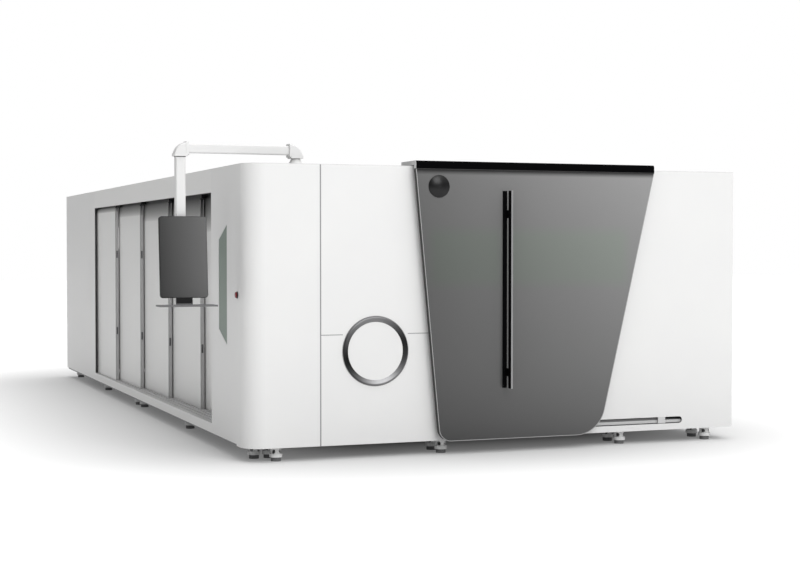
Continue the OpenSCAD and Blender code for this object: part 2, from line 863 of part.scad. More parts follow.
// A closed cabinet with a groove round its door, which faces the machine's inside
module cabinet(y, l, h) {
    low = [body_w - sheet_t - channel_w - cabinet_gap - cabinet_w, y, ring_top_z];
    rim = 40;
    difference() {
        block(low, low + [cabinet_w, l, h]);
        for (z = [rim, h - rim - cabinet_groove])
            translate(low + [-over, rim, z]) cube([cabinet_groove + over, l - 2 * rim, cabinet_groove]);
        for (side = [rim, l - rim - cabinet_groove])
            translate(low + [-over, side, rim]) cube([cabinet_groove + over, cabinet_groove, h - 2 * rim]);
    }
}

module laser_source() color(white) at_corner() cabinet(source_y, source_l, source_h);

module electrical_cabinet() color(white) at_corner() cabinet(electric_y, electric_l, electric_h);

module exhaust_spigot() color(steel) at_corner() translate([spigot_x, body_l, spigot_z]) rotate([-90, 0, 0])
    difference() {
        union() {
            cylinder(d = spigot_d, h = spigot_l);
            cylinder(d = spigot_d + 2 * spigot_flange, h = spigot_wall);
        }
        translate([0, 0, -over]) cylinder(d = spigot_d - 2 * spigot_wall, h = spigot_l + 2 * over);
    }

// Puts a foot below the two front rows and along both sides
module at_feet() {
    for (x = front_feet_x)
        for (y = [foot_row_y, second_row_y])
            translate([x, y, 0]) children();
    for (y = concat([second_row_y], side_feet_y))
        translate([side_foot_in, y, 0]) children();
    for (y = side_feet_y)
        translate([body_w - side_foot_in, y, 0]) children();
}

module foot_sleeves() color(white) at_corner() at_feet() difference() {
    union() {
        translate([0, 0, pad_h]) cylinder(d = sleeve_d, h = skirt_z - pad_h, $fn = 48);
        translate([0, 0, pad_h]) cylinder(d = flange_d, h = flange_h, $fn = 48);
    }
    translate([0, 0, pad_h - over])
        cylinder(d = sleeve_d - 2 * sleeve_wall, h = skirt_z - pad_h + 2 * over, $fn = 48);
    for (turn = [45, 135])
        rotate(turn) bar_y(0, -sleeve_d, skirt_z - sleeve_hole_d, sleeve_hole_d, 2 * sleeve_d, $fn = 32);
}

module levelling_feet() color(grey) at_corner() at_feet() {
    cylinder(d = pad_d, h = pad_h, $fn = 48);
    translate([0, 0, pad_h - over]) cylinder(d = spindle_d, h = skirt_z - pad_h + over, $fn = 48);
}

// Front door

// The door's outline, drawn in x and z, pulled in by inset all round
module door_outline(inset) {
    low_z = skirt_z + inset;
    high_z = door_top_z - inset;
    left = door_left(low_z, inset);
    right = door_right(low_z, inset);
    // Half the angle of each bottom corner, and how far its arc starts from it
    half_left = (90 + atan(lean_left)) / 2;
    half_right = (90 + atan(lean_right)) / 2;
    run_left = (door_left_r - inset) / tan(half_left);
    run_right = (door_right_r - inset) / tan(half_right);
    polygon([
        [door_left(high_z, inset), high_z],
        [left - run_left * sin(atan(lean_left)), low_z + run_left * cos(atan(lean_left))],
        [left + run_left, low_z],
        [right - run_right, low_z],
        [right + run_right * sin(atan(lean_right)), low_z + run_right * cos(atan(lean_right))],
        [door_right(high_z, inset), high_z]
    ]);
    translate([left + run_left, low_z + door_left_r - inset]) circle(door_left_r - inset);
    translate([right - run_right, low_z + door_right_r - inset]) circle(door_right_r - inset);
}

// The two windows behind the tinted face, one each side of the handle
module door_windows() {
    left = [door_left(window_low_z, window_in), handle_x - handle_plate_w / 2 - window_gap];
    right = [handle_x + handle_shift + handle_w / 2 + window_gap, door_right(window_low_z, window_in)];
    for (span = [left, right])
        translate([span[0], window_low_z]) square([span[1] - span[0], window_high_z - window_low_z]);
}

// A welded tray: its rim shows as the door's bright edge, and its plate carries the tinted face
module door_shell() color([0.75, 0.76, 0.78]) at_corner() difference() {
    plate_xz(-door_proud, door_proud - door_gap) door_outline(0);
    plate_xz(-door_proud - over, door_face_t + over) door_outline(door_rim_t);
    plate_xz(shell_y + shell_t, door_proud) door_outline(door_rim_t);
    plate_xz(shell_y - over, shell_t + 2 * over) door_windows();
}

module door_face() color([0.45, 0.45, 0.46]) at_corner() difference() {
    plate_xz(-door_proud, door_face_t) door_outline(door_rim_t + face_gap);
    left = [door_left(groove_z, groove_in), handle_x - handle_plate_w / 2 - groove_in];
    right = [handle_x + handle_plate_w / 2, door_right(groove_z, groove_in)];
    for (span = [left, right])
        block([span[0], -door_proud - over, groove_z],
              [span[1], -door_proud + groove_t, groove_z + groove_h]);
}

// The hood's closed section, drawn in y and z from low_z up, round at its front and pulled in by inset
module hood_outline(inset, low_z) {
    r = hood_r - inset;
    front = -door_proud + inset;
    back = hood_back_y - inset;
    top = hood_top_z - inset;
    translate([front, low_z]) square([back - front, top - r - low_z]);
    translate([front + r, low_z]) square([back - front - r, top - low_z]);
    translate([front + r, top - r]) circle(r);
}

// A folded hood that hangs the door over the roof's rail; its right end lets the rail through
module door_hood() color(dark) at_corner() {
    low_x = door_left(door_top_z, 0);
    high_x = door_right(door_top_z, 0);
    under_z = roof_z + hood_lift;
    difference() {
        union() {
            plate_yz(low_x, high_x - low_x) difference() {
                hood_outline(0, door_top_z);
                hood_outline(hood_t, door_top_z + hood_t);
            }
            for (x = [low_x, high_x - hood_t])
                plate_yz(x, hood_t) hood_outline(0, door_top_z);
        }
        block([low_x - over, -door_gap, door_top_z - over], [high_x + over, hood_back_y + over, under_z]);
        block([high_x - hood_t - over, top_rail_y - rail_notch, under_z - over],
              [high_x + over, top_rail_y + top_rail_w + rail_notch, roof_z + top_rail_h + hood_t]);
    }
}

// A deep bar on two blocks, beside the flat plate that guards the door's face
module door_handle() color(dark) at_corner() {
    bar_middle_x = handle_x + handle_shift;
    bar_back_y = -door_proud - handle_gap;
    translate([bar_middle_x, bar_back_y - handle_t / 2, handle_z]) linear_extrude(handle_l)
        round_rect(handle_w, handle_t, handle_edge_r);
    for (z = standoff_z)
        block([bar_middle_x - standoff_w / 2, bar_back_y - over, z - standoff_h / 2],
              [bar_middle_x + standoff_w / 2, -door_proud, z + standoff_h / 2]);
    block([handle_x - handle_plate_w / 2, -door_proud - handle_plate_t, handle_z],
          [handle_x + handle_plate_w / 2, -door_proud, handle_z + handle_l]);
}

// A light strip along the handle bar's front
module handle_strips() color([0.75, 0.76, 0.78]) at_corner() {
    low_x = handle_x + handle_shift - handle_w / 2 + handle_edge_r;
    front_y = -door_proud - handle_gap - handle_t;
    block([low_x, front_y - handle_strip_t, handle_z],
          [low_x + handle_w - 2 * handle_edge_r, front_y, handle_z + handle_l]);
}

module door_disc() color(dark) at_corner() translate([disc_x, -door_proud, disc_z]) rotate([90, 0, 0])
    rotate_extrude() intersection() {
        square([disc_d / 2, disc_t]);
        translate([0, disc_t - disc_dome_r]) circle(disc_dome_r, $fn = 360);
    }

module door_guide_shoe() color(dark) at_corner() difference() {
    block([shoe_x - shoe_w / 2, shell_y + shell_t, rail_top_z + 2],
          [shoe_x + shoe_w / 2, shoe_y, rail_top_z + 2 + shoe_h]);
    block([shoe_x - shoe_w / 2 - over, rail_y - slide_gap, rail_top_z],
          [shoe_x + shoe_w / 2 + over, rail_y + fin_t + slide_gap, rail_top_z + fin_h + slide_gap]);
}

// Guide blocks below the hood that ride on the roof's rail
module door_hangers() color(steel) at_corner() for (x = hanger_x) difference() {
    block([x - hanger_l / 2, top_rail_y - slide_gap - hanger_wall, roof_z + hood_lift],
          [x + hanger_l / 2, top_rail_y + top_rail_w + slide_gap + hanger_wall, hood_top_z - hood_t]);
    block([x - hanger_l / 2 - over, top_rail_y - slide_gap, roof_z],
          [x + hanger_l / 2 + over, top_rail_y + top_rail_w + slide_gap, roof_z + top_rail_h]);
}

// Side leaves

// A flat leaf that stands on its track's rail; its fin runs in the upper guide, and its end has finger pulls
module side_leaf(i) color([0.86, 0.86, 0.86]) at_corner() translate([leaf_x(i), leaf_y(i), 0]) {
    middle = leaf_t / 2;
    groove_w = track_rail_w + 2 * slide_gap;
    fin_w = track_rail_w;
    difference() {
        union() {
            block([0, 0, track_top_z - leaf_foot], [leaf_t, leaf_l, leaf_top_z]);
            block([middle - fin_w / 2, 0, leaf_top_z], [middle + fin_w / 2, leaf_l, fin_top_z]);
        }
        for (z = pull_z)
            block([middle - pull_w / 2, -over, z - pull_h / 2],
                  [middle + pull_w / 2, pull_t, z + pull_h / 2]);
        block([middle - groove_w / 2, -over, sill_z], [middle + groove_w / 2, leaf_l + over, track_top_z]);
    }
}

module side_leaf_1() side_leaf(1);
module side_leaf_2() side_leaf(2);
module side_leaf_3() side_leaf(3);
module side_leaf_4() side_leaf(4);
module side_leaf_5() side_leaf(5);

// Emergency stop

module estop_collar() color(dark) at_corner() difference() {
    t = estop_collar_t;
    bar_x(-t, estop_y, estop_z, estop_collar_d, t);
    bar_x(-t - over, estop_y, estop_z, estop_stem_d + 2 * slide_gap, t + 2 * over);
}

// A mushroom button whose stem passes through the collar and the panel
module estop_button() color([0.75, 0.08, 0.08]) at_corner()
    translate([-estop_collar_t - estop_travel_gap, estop_y, estop_z]) rotate([0, -90, 0]) rotate_extrude()
        polygon([
            [0, -estop_collar_t - estop_travel_gap - estop_stem_l],
            [estop_stem_d / 2, -estop_collar_t - estop_travel_gap - estop_stem_l],
            [estop_stem_d / 2, 0],
            [estop_d / 2, 0],
            [estop_d / 2, 0.1 * estop_d],
            [0.42 * estop_d, 0.16 * estop_d],
            [0, 0.2 * estop_d]
        ]);

// Pendant

module pendant_base() color(white) at_corner() translate([pendant_x, pendant_y, roof_z]) {
    cylinder(d = base_flange_d, h = base_flange_t);
    translate([0, 0, base_flange_t])
        cylinder(d1 = base_cone_d, d2 = base_neck_d, h = arm_foot_z - roof_z - base_flange_t);
}

// A rectangle with round corners, centred at the origin
module round_rect(w, h, r) {
    square([w - 2 * r, h], center = true);
    square([w, h - 2 * r], center = true);
    for (x = [-1, 1])
        for (y = [-1, 1])
            translate([x * (w / 2 - r), y * (h / 2 - r)]) circle(r, $fn = 48);
}

// A flat-sided quarter-round elbow that turns from the arm's axis at x = 0 down to z = -elbow_r
module elbow() {
    translate([0, 0, -elbow_r]) rotate([90, 0, 0]) rotate_extrude(angle = 90)
        translate([elbow_r, 0]) round_rect(elbow_h, elbow_w, tube_edge_r);
    rotate([90, 0, 90]) elbow_collar();
    translate([elbow_r, 0, -elbow_r]) rotate(90) elbow_collar();
}

module elbow_collar() {
    linear_extrude(collar_t) round_rect(elbow_w + 2 * collar_lip, elbow_h + 2 * collar_lip, tube_edge_r);
}

module pendant_arm() color(white) at_corner() translate([pendant_x, pendant_y, arm_axis_z]) {
    translate([-elbow_r, 0, 0]) elbow();
    translate([elbow_r - arm_l, 0, 0]) mirror([1, 0, 0]) elbow();
    translate([elbow_r - arm_l - over, 0, 0]) rotate([90, 0, 90])
        linear_extrude(arm_l - 2 * elbow_r + 2 * over) round_rect(arm_d, arm_d, tube_edge_r);
}

// The drop tube ends behind the control panel, with two cheeks and a pin that hold the panel's lug
module pendant_drop_tube() color(white) at_corner() translate([drop_x, pendant_y, 0]) {
    cheek_x = lug_w / 2 + cheek_gap;
    translate([0, 0, pin_z - drop_end]) linear_extrude(arm_foot_z - pin_z + drop_end)
        round_rect(drop_d, drop_d, tube_edge_r);
    for (x = [-cheek_x - cheek_t, cheek_x]) {
        bar_x(x, pin_y, pin_z, 2 * cheek_r, cheek_t);
        block([x, pin_y, pin_z - cheek_r], [x + cheek_t, -drop_d / 2 + over, pin_z + cheek_r]);
    }
    bar_x(-cheek_x - over, pin_y, pin_z, pin_d, 2 * cheek_x + 2 * over);
}

// Tips what hangs from the drop tube's pin back by the panel's tilt
module tipped() {
    translate([drop_x, pendant_y + pin_y, pin_z]) rotate([-panel_tilt, 0, 0]) children();
}

// A flat case with round corners, hung by a lug on its back
module control_panel() color(dark) at_corner() tipped() {
    translate([0, -lug_r, pin_drop - panel_h / 2]) rotate([90, 0, 0]) linear_extrude(panel_d)
        round_rect(panel_w, panel_h, panel_r);
    difference() {
        union() {
            block([-lug_w / 2, -lug_r - over, -lug_r], [lug_w / 2, 0, lug_r]);
            bar_x(-lug_w / 2, 0, 0, 2 * lug_r, lug_w);
        }
        bar_x(-lug_w / 2 - over, 0, 0, pin_d + 2 * turn_gap, lug_w + 2 * over);
    }
}

module control_screen() color([0.05, 0.06, 0.07]) at_corner() tipped()
    translate([0, -lug_r - panel_d, pin_drop - panel_h / 2]) rotate([90, 0, 0]) linear_extrude(screen_t)
        round_rect(panel_w - 2 * screen_in, panel_h - 2 * screen_in, panel_r - screen_in);

// A level tray on a leaning block below the panel
module keyboard_tray() color(dark) at_corner() {
    low_z = tray_top_z - tray_t / 2 - pin_z;
    translate([drop_x, pendant_y, 0])
        block([-tray_w / 2, -tray_front, tray_top_z - tray_t], [tray_w / 2, -tray_back, tray_top_z]);
    tipped()
        block([-bracket_w / 2, -lug_r - panel_d, low_z], [bracket_w / 2, -lug_r, pin_drop - panel_h]);
}

// Gantry and cutting head

// A hollow beam across the bed and the tube lane, with two rails along its front
module gantry_beam() color(grey) at_corner() {
    front = gantry_y - gantry_d / 2;
    difference() {
        block([gantry_x, front, gantry_z], [gantry_end_x, front + gantry_d, gantry_z + gantry_h]);
        block([gantry_x - over, front + gantry_wall, gantry_z + gantry_wall],
              [gantry_end_x + over, front + gantry_d - gantry_wall, gantry_z + gantry_h - gantry_wall]);
    }
    for (z = head_rail_z)
        block([gantry_x, front - head_rail_t, z - head_rail_w / 2],
              [gantry_end_x, front - weld_gap, z + head_rail_w / 2]);
}

// A truck at each end of the beam; grooved blocks below its plate ride on the bed's rail
module gantry_trucks() color(steel) at_corner() for (x = [bed_x, bed_right_x]) {
    middle = x + beam_w / 2;
    low_y = gantry_y - truck_front;
    groove_w = gantry_rail_w + 2 * slide_gap;
    block([x, low_y, truck_z + truck_block_h], [x + beam_w, low_y + truck_l, gantry_z]);
    for (y = [low_y, low_y + truck_l - truck_block_l]) difference() {
        block([middle - truck_block_w / 2, y, beam_top_z + truck_block_h / 3],
              [middle + truck_block_w / 2, y + truck_block_l, truck_z + truck_block_h]);
        block([middle - groove_w / 2, y - over, beam_top_z],
              [middle + groove_w / 2, y + truck_block_l + over, truck_z]);
    }
}

// A plate with two grooved guides that ride on the beam's front rails
module head_carriage() color(steel) at_corner() {
    rail_y = gantry_y - gantry_d / 2 - head_rail_t;
    groove_w = head_rail_w + 2 * slide_gap;
    guide_w = head_rail_w + 40;
    difference() {
        union() {
            block([head_x - carriage_w / 2, rail_y - carriage_t, gantry_z + 10],
                  [head_x + carriage_w / 2, rail_y, gantry_z + gantry_h - 10]);
            for (z = head_rail_z)
                block([head_x - carriage_w / 2, rail_y - over, z - guide_w / 2],
                      [head_x + carriage_w / 2, rail_y + head_rail_t / 2, z + guide_w / 2]);
        }
        for (z = head_rail_z)
            block([head_x - carriage_w / 2 - over, rail_y, z - groove_w / 2],
                  [head_x + carriage_w / 2 + over, rail_y + head_rail_t, z + groove_w / 2]);
    }
}

// A slide plate with a round head that narrows to the nozzle
module cutting_head() color(dark) at_corner() {
    front = gantry_y - gantry_d / 2 - head_rail_t - carriage_t;
    slide_z = nozzle_z + 0.36 * head_h;
    block([head_x - slide_w / 2, front - slide_t, slide_z],
          [head_x + slide_w / 2, front, slide_z + slide_h]);
    translate([head_x, front - slide_t - head_d / 2 + head_lap, nozzle_z]) rotate_extrude() polygon([
        [nozzle_d / 4, 0],
        [nozzle_d / 2, 0],
        [nozzle_d, 0.045 * head_h],
        [1.3 * nozzle_d, 0.11 * head_h],
        [head_d / 2 - head_neck, 0.16 * head_h],
        [head_d / 2 - head_neck, 0.3 * head_h],
        [head_d / 2, 0.34 * head_h],
        [head_d / 2, 0.84 * head_h],
        [head_d / 2 - 2 * head_neck, 0.89 * head_h],
        [head_d / 2 - 2 * head_neck, head_h],
        [nozzle_d / 4, head_h]
    ]);
}

// Sheet pallets

// A slat drawn in x and z, with a row of teeth that carry the sheet
module slat_outline(w) {
    teeth = floor(w / tooth_pitch);
    pitch = w / teeth;
    polygon(concat(
        [[0, 0]],
        [for (i = [0 : teeth - 1]) each [[i * pitch, slat_h - tooth_h], [(i + 0.5) * pitch, slat_h]]],
        [[w, slat_h - tooth_h], [w, 0]]
    ));
}

// A welded frame of bars with toothed slats across it
module pallet(y, z) {
    w = bed_w - 2 * pallet_side_gap;
    slats = floor((pallet_l - 2 * pallet_bar_w) / slat_pitch);
    first = (pallet_l - (slats - 1) * slat_pitch) / 2;
    inner_x = pallet_bar_w + weld_gap;
    inner_w = w - 2 * inner_x;
    translate([bed_x + beam_w + pallet_side_gap, y, z]) {
        for (x = [0, w - pallet_bar_w])
            translate([x, 0, 0]) cube([pallet_bar_w, pallet_l, pallet_bar_h]);
        for (end_y = [0, pallet_l - pallet_bar_w])
            translate([inner_x, end_y, 0]) cube([inner_w, pallet_bar_w, pallet_bar_h]);
        for (i = [0 : slats - 1])
            translate([inner_x, 0, over]) plate_xz(first + i * slat_pitch - slat_t / 2, slat_t)
                slat_outline(inner_w);
    }
}

module pallet_upper() color(steel) at_corner() pallet(pallet_y, pallet_levels[1]);

module pallet_lower() color(steel) at_corner() pallet(pallet_y + pallet_l + pallet_gap, pallet_levels[0]);

base_frame();
bed_beams();
gantry_rails();
scrap_tray();
tube_bed();
front_chuck_housing();
enclosure_frame();
front_corner_panel();
front_upper_panel();
front_lower_panel();
doorway_lintel();
doorway_sill();
front_right_panel();
left_near_panel();
left_far_panel();
side_header();
side_sill();
right_panels();
rear_panel();
roof_panels();
side_window();
tube_port_ring();
tube_port_cover();
door_top_rail();
door_lower_rail();
laser_source();
electrical_cabinet();
exhaust_spigot();
foot_sleeves();
levelling_feet();
pendant_base();
estop_collar();
door_shell();
door_face();
door_hood();
door_handle();
handle_strips();
door_disc();
door_guide_shoe();
door_hangers();
side_leaf_1();
side_leaf_2();
side_leaf_3();
side_leaf_4();
side_leaf_5();
pendant_arm();
pendant_drop_tube();
control_panel();
control_screen();
keyboard_tray();
estop_button();
gantry_beam();
gantry_trucks();
head_carriage();
cutting_head();
pallet_upper();
pallet_lower();
rear_chuck_carriage();
rear_chuck_rotor();
front_chuck_rotor();
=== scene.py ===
# %% [markdown]
# # Dressing an enclosed laser cutting machine
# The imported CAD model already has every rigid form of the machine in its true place. This lesson gives each piece
# the finish it has in a workshop, adds the thin trim that is too fine for solids, and sets up a plain studio.

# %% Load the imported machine
import math

import bmesh
import bpy
import numpy as np
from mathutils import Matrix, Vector


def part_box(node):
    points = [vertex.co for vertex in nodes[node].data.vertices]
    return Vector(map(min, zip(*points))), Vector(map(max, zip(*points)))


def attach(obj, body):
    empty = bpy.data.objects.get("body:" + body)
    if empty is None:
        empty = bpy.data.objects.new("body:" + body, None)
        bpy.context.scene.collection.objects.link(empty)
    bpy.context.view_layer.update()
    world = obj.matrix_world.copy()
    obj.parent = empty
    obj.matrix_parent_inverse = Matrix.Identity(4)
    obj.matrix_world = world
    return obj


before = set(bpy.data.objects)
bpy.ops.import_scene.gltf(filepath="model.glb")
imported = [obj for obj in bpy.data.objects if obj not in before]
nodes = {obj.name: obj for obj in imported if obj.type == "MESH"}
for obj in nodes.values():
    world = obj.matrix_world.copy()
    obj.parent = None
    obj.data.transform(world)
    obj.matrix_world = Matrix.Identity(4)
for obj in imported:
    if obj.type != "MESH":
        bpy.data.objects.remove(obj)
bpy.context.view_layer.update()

# %% [markdown]
# ## Colours and nodes
# A paint chip is written as a hex value in sRGB, the way a colour card gives it, while Blender's shaders work in
# linear light. One function turns the first into the second. A second one adds a shader node: settings go in as
# keywords, and each input is either linked, when it is given a socket, or filled with a number or colour. The other
# three start a material, link its results to the shader, and put it on the machine's own nodes.


# %% Colour and node helpers
def linear(chip):
    """Turns an sRGB hex colour into linear RGBA: below 0.04045 it divides by 12.92, above it takes the 2.4 power."""
    part = np.array([int(chip[i:i + 2], 16) for i in (1, 3, 5)]) / 255
    part = np.where(part <= 0.04045, part / 12.92, ((part + 0.055) / 1.055) ** 2.4)
    return (*part.tolist(), 1.0)


def add(tree, kind, inputs, **settings):
    """Adds one node with its settings, then links or fills its inputs."""
    node = tree.nodes.new(kind)
    for key, value in settings.items():
        setattr(node, key, value)
    for name, value in inputs.items():
        if isinstance(value, bpy.types.NodeSocket):
            tree.links.new(value, node.inputs[name])
        else:
            node.inputs[name].default_value = value
    return node


def start(name, **sockets):
    """Starts a material: itself, its node tree, its shader and the Object coordinates that every pattern reads."""
    material = bpy.data.materials.new(name)
    material.use_nodes = True
    tree = material.node_tree
    shader = tree.nodes["Principled BSDF"]
    for key, value in sockets.items():
        shader.inputs[key.replace("_", " ")].default_value = value
    place = add(tree, "ShaderNodeTexCoord", {}).outputs["Object"]
    return material, tree, shader, place


def dress(tree, shader, **results):
    """Links each result to the shader's input of that name."""
    for key, socket in results.items():
        tree.links.new(socket, shader.inputs[key.replace("_", " ")])


def wear(node_names, material):
    """Gives one finish to several CAD nodes."""
    for name in node_names:
        nodes[name].data.materials.clear()
        nodes[name].data.materials.append(material)
    print(material.name, "on", len(node_names), "nodes")


# %% [markdown]
# ## Powder-coated sheet steel
# The walls and the pendant are steel sheet with a baked white powder coat. Such a coat has a faint orange peel, about
# 2 mm across, which is drawn here at 14 mm because anything finer is lost at this distance. Sheet metal is also never
# quite flat, so a second, slower wave of about half a metre bends the reflections a little. The eye sees a soft gloss
# that is never quite even. The black coat is a matt one, so it mirrors nothing of the bright ceiling.

# %% Powder coats
PEEL, SHEET_WAVE = 0.014, 0.55
PEEL_BUMP = {"Strength": 0.08, "Distance": 0.0008}
WAVE_BUMP = {"Strength": 0.12, "Distance": 0.01}
COAT_IOR, COAT_SPREAD = 1.5, 0.05
WHITE, WHITE_SHADE = "#dfdfde", "#dadada"


def powder_coat(name, chip, shade_chip, rough, **sockets):
    """A baked powder coat: two close shades, an uneven gloss and a bump of orange peel over a slow sheet wave."""
    material, tree, shader, place = start(name, IOR=COAT_IOR, **sockets)
    slow = add(tree, "ShaderNodeTexNoise", {"Vector": place, "Scale": 1 / SHEET_WAVE, "Detail": 2.0})
    peel = add(tree, "ShaderNodeTexNoise", {"Vector": place, "Scale": 1 / PEEL, "Detail": 1.0})
    tint = add(tree, "ShaderNodeMix", {"Factor": slow.outputs["Fac"], "A": linear(shade_chip), "B": linear(chip)},
               data_type="RGBA")
    gloss = add(tree, "ShaderNodeMapRange", {"Value": peel.outputs["Fac"], "To Min": rough - COAT_SPREAD,
                                             "To Max": rough + COAT_SPREAD})
    waves = add(tree, "ShaderNodeBump", {"Height": slow.outputs["Fac"], **WAVE_BUMP})
    skin = add(tree, "ShaderNodeBump", {"Height": peel.outputs["Fac"], "Normal": waves.outputs["Normal"],
                                        **PEEL_BUMP})
    dress(tree, shader, Base_Color=tint.outputs["Result"], Roughness=gloss.outputs["Result"],
          Normal=skin.outputs["Normal"])
    return material


wear(["front_corner_panel", "front_upper_panel", "front_lower_panel", "doorway_lintel", "doorway_sill",
      "front_right_panel", "left_near_panel", "left_far_panel", "right_panels", "rear_panel", "tube_port_cover",
      "foot_sleeves", "laser_source", "electrical_cabinet", "pendant_base", "pendant_arm", "pendant_drop_tube"],
     powder_coat("white powder coat", WHITE, WHITE_SHADE, 0.42))
wear(["roof_panels"], powder_coat("light grey roof coat", "#cacac9", "#c5c5c5", 0.5))
wear(["base_frame", "bed_beams", "tube_bed", "front_chuck_housing", "enclosure_frame", "gantry_beam",
      "rear_chuck_carriage"], powder_coat("grey machine paint", "#77787a", "#6e6f72", 0.45))
wear(["door_handle", "cutting_head"],
     powder_coat("black powder coat", "#0c0c0d", "#09090a", 0.6, Specular_IOR_Level=0.0))

# %% [markdown]
# ## Pieces with two coats
# Some pieces change colour along a fold or an edge: the sill's outer wall is white and its tread grey, the header is
# black inside as painted shade over the leaves, the hood's left end cap is left light, the door's tray is dark with a
# bare edge whose top is darkened as painted shade below the hood, the door's rail has a fin darkened as painted shade
# in its slot, and the keyboard tray hangs on a black bracket. They are masked before the second coat, so the change is
# a sharp line across one axis or two. Two materials on one mesh would need its faces sorted, while a step on Object
# coordinates masks it as the painter does.


# %% Masked coats
def masked_coat(name, splits, low_chip, high_chip, rough, join="MAXIMUM", **sockets):
    """An orange-peel coat whose chip changes past any split on an axis, or past all of them if joined by MINIMUM."""
    material, tree, shader, place = start(name, IOR=COAT_IOR, **sockets)
    axis = add(tree, "ShaderNodeSeparateXYZ", {"Vector": place})
    past = 0.0 if join == "MAXIMUM" else 1.0
    for axis_name, split in splits.items():
        above = add(tree, "ShaderNodeMath", {0: axis.outputs[axis_name], 1: split}, operation="GREATER_THAN")
        past = add(tree, "ShaderNodeMath", {0: above.outputs["Value"], 1: past}, operation=join).outputs["Value"]
    peel = add(tree, "ShaderNodeTexNoise", {"Vector": place, "Scale": 1 / PEEL, "Detail": 1.0})
    tint = add(tree, "ShaderNodeMix", {"Factor": past, "A": linear(low_chip), "B": linear(high_chip)},
               data_type="RGBA")
    gloss = add(tree, "ShaderNodeMapRange", {"Value": peel.outputs["Fac"], "To Min": rough - COAT_SPREAD,
                                             "To Max": rough + COAT_SPREAD})
    skin = add(tree, "ShaderNodeBump", {"Height": peel.outputs["Fac"], **PEEL_BUMP})
    dress(tree, shader, Base_Color=tint.outputs["Result"], Roughness=gloss.outputs["Result"],
          Normal=skin.outputs["Normal"])
    return material


# %% [markdown]
# ## Where the masks end
# Each mask ends at a place that is read from its own node's box, a little past the edge that it follows, so the line
# stays on the fold when the model changes. Only the rail's fin is given by its height, since its box doesn't show
# where the fin begins.

# %% Masked pieces
EDGE = 0.0015
SHADED_TOP_RIM = 0.006
RAIL_TOP, RAIL_STOP = 0.1835, 0.010
BRACKET = 0.042
sill_low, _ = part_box("side_sill")
header_low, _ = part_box("side_header")
hood_low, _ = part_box("door_hood")
shell_low, shell_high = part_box("door_shell")
rail_low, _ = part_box("door_lower_rail")
_, tray_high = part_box("keyboard_tray")
wear(["side_sill"], masked_coat("white and grey sill coat", {"X": sill_low[0] + EDGE}, WHITE, "#b2b2b2", 0.45))
# Painted shade: the header is black past its outer face, standing for the shadow over the leaves.
wear(["side_header"], masked_coat("white header coat with painted shade inside", {"X": header_low[0] + EDGE}, WHITE, "#070707", 0.42))
wear(["door_hood"], masked_coat("black hood coat", {"X": hood_low[0] + EDGE}, "#c4c4c4", "#09090a", 0.6,
                                Specular_IOR_Level=0.0))
# Painted shade: the bare edge is dark in its top 6 mm, below the hood.
wear(["door_shell"], masked_coat("dark tray coat with a bare edge and a painted shade on top",
                                 {"Y": shell_low[1] + EDGE, "Z": shell_high[2] - SHADED_TOP_RIM}, "#a2a2a2", "#343434",
                                 0.45, Specular_IOR_Level=0.2))
# Painted shade: the fin deep in the slot is a dark grey, standing for the slot's shadow.
wear(["door_lower_rail"], masked_coat("zinc rail with a painted shade fin", {"Y": rail_low[1] + RAIL_STOP, "Z": RAIL_TOP},
                                      "#c6c6c6", "#6a6a6a", 0.4, "MINIMUM"))
wear(["keyboard_tray"], masked_coat("grey tray coat with a black bracket", {"Z": tray_high[2] - BRACKET}, "#6c6c6d",
                                    "#0d0d0e", 0.5, Specular_IOR_Level=0.2))

# %% [markdown]
# ## Sliding leaves
# A leaf is a white sheet with a grey end profile. Its head carries a painted shade below the header, where little
# light comes, and a leaf on a deeper track has a wider band of painted shade. Even studio light doesn't give that, so
# the painted shade is one more mix on the masked coat: a ramp on height, raised to a power so that it stays dark at
# the top.

# %% Leaf coats
LEAVES = [f"side_leaf_{i}" for i in range(1, 6)]
HEADER_SHADE_STEP, SHADE_POWER = 0.060, 0.6
for i, leaf in enumerate(LEAVES, 1):
    leaf_low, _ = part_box(leaf)
    coat = masked_coat(f"leaf coat {i}", {"Y": leaf_low[1] + EDGE}, "#bcbcbc", WHITE, 0.4)
    tree = coat.node_tree
    unshaded = tree.nodes["Principled BSDF"].inputs["Base Color"]
    axis = add(tree, "ShaderNodeSeparateXYZ", {"Vector": tree.nodes["Texture Coordinate"].outputs["Object"]})
    # Painted shade: a ramp on height mixes the coat towards black below the header, wider on deeper tracks.
    ramp = add(tree, "ShaderNodeMapRange", {"Value": axis.outputs["Z"], "From Min": header_low[2] - HEADER_SHADE_STEP * i,
                                            "From Max": header_low[2]})
    soft = add(tree, "ShaderNodeMath", {0: ramp.outputs["Result"], 1: SHADE_POWER}, operation="POWER")
    painted_shade = add(tree, "ShaderNodeMix", {"Factor": soft.outputs["Value"], "A": unshaded.links[0].from_socket,
                                         "B": linear("#0a0a0a")}, data_type="RGBA")
    tree.links.new(painted_shade.outputs["Result"], unshaded)
    wear([leaf], coat)

# %% [markdown]
# ## Tinted door face
# The door's face is one dark tinted acrylic sheet over a metal tray, with two clearer windows behind it. Gloss does
# most of the work, and over it the colour drifts slowly as a painted reflection, from its dark foot to its paler
# right-hand head: four chips, one for each corner, are mixed across and then up. A painted shadow of the hood fades
# out at the top of the sheet, and the windows are two boxes with a faint green on either side of the handle.

# %% Tinted sheet
face_low, face_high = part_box("door_face")
handle_low, handle_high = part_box("door_handle")
HOOD_SHADE = 0.040
WINDOW_Z, WINDOW_EDGE, WINDOW_GAP = (1.300, 1.720), 0.050, 0.01
WINDOW_LEFT, WINDOW_RIGHT = face_low[0] + 0.11, face_high[0] - 0.24
WINDOW_GREEN = (0.96, 1.05, 0.96, 1.0)


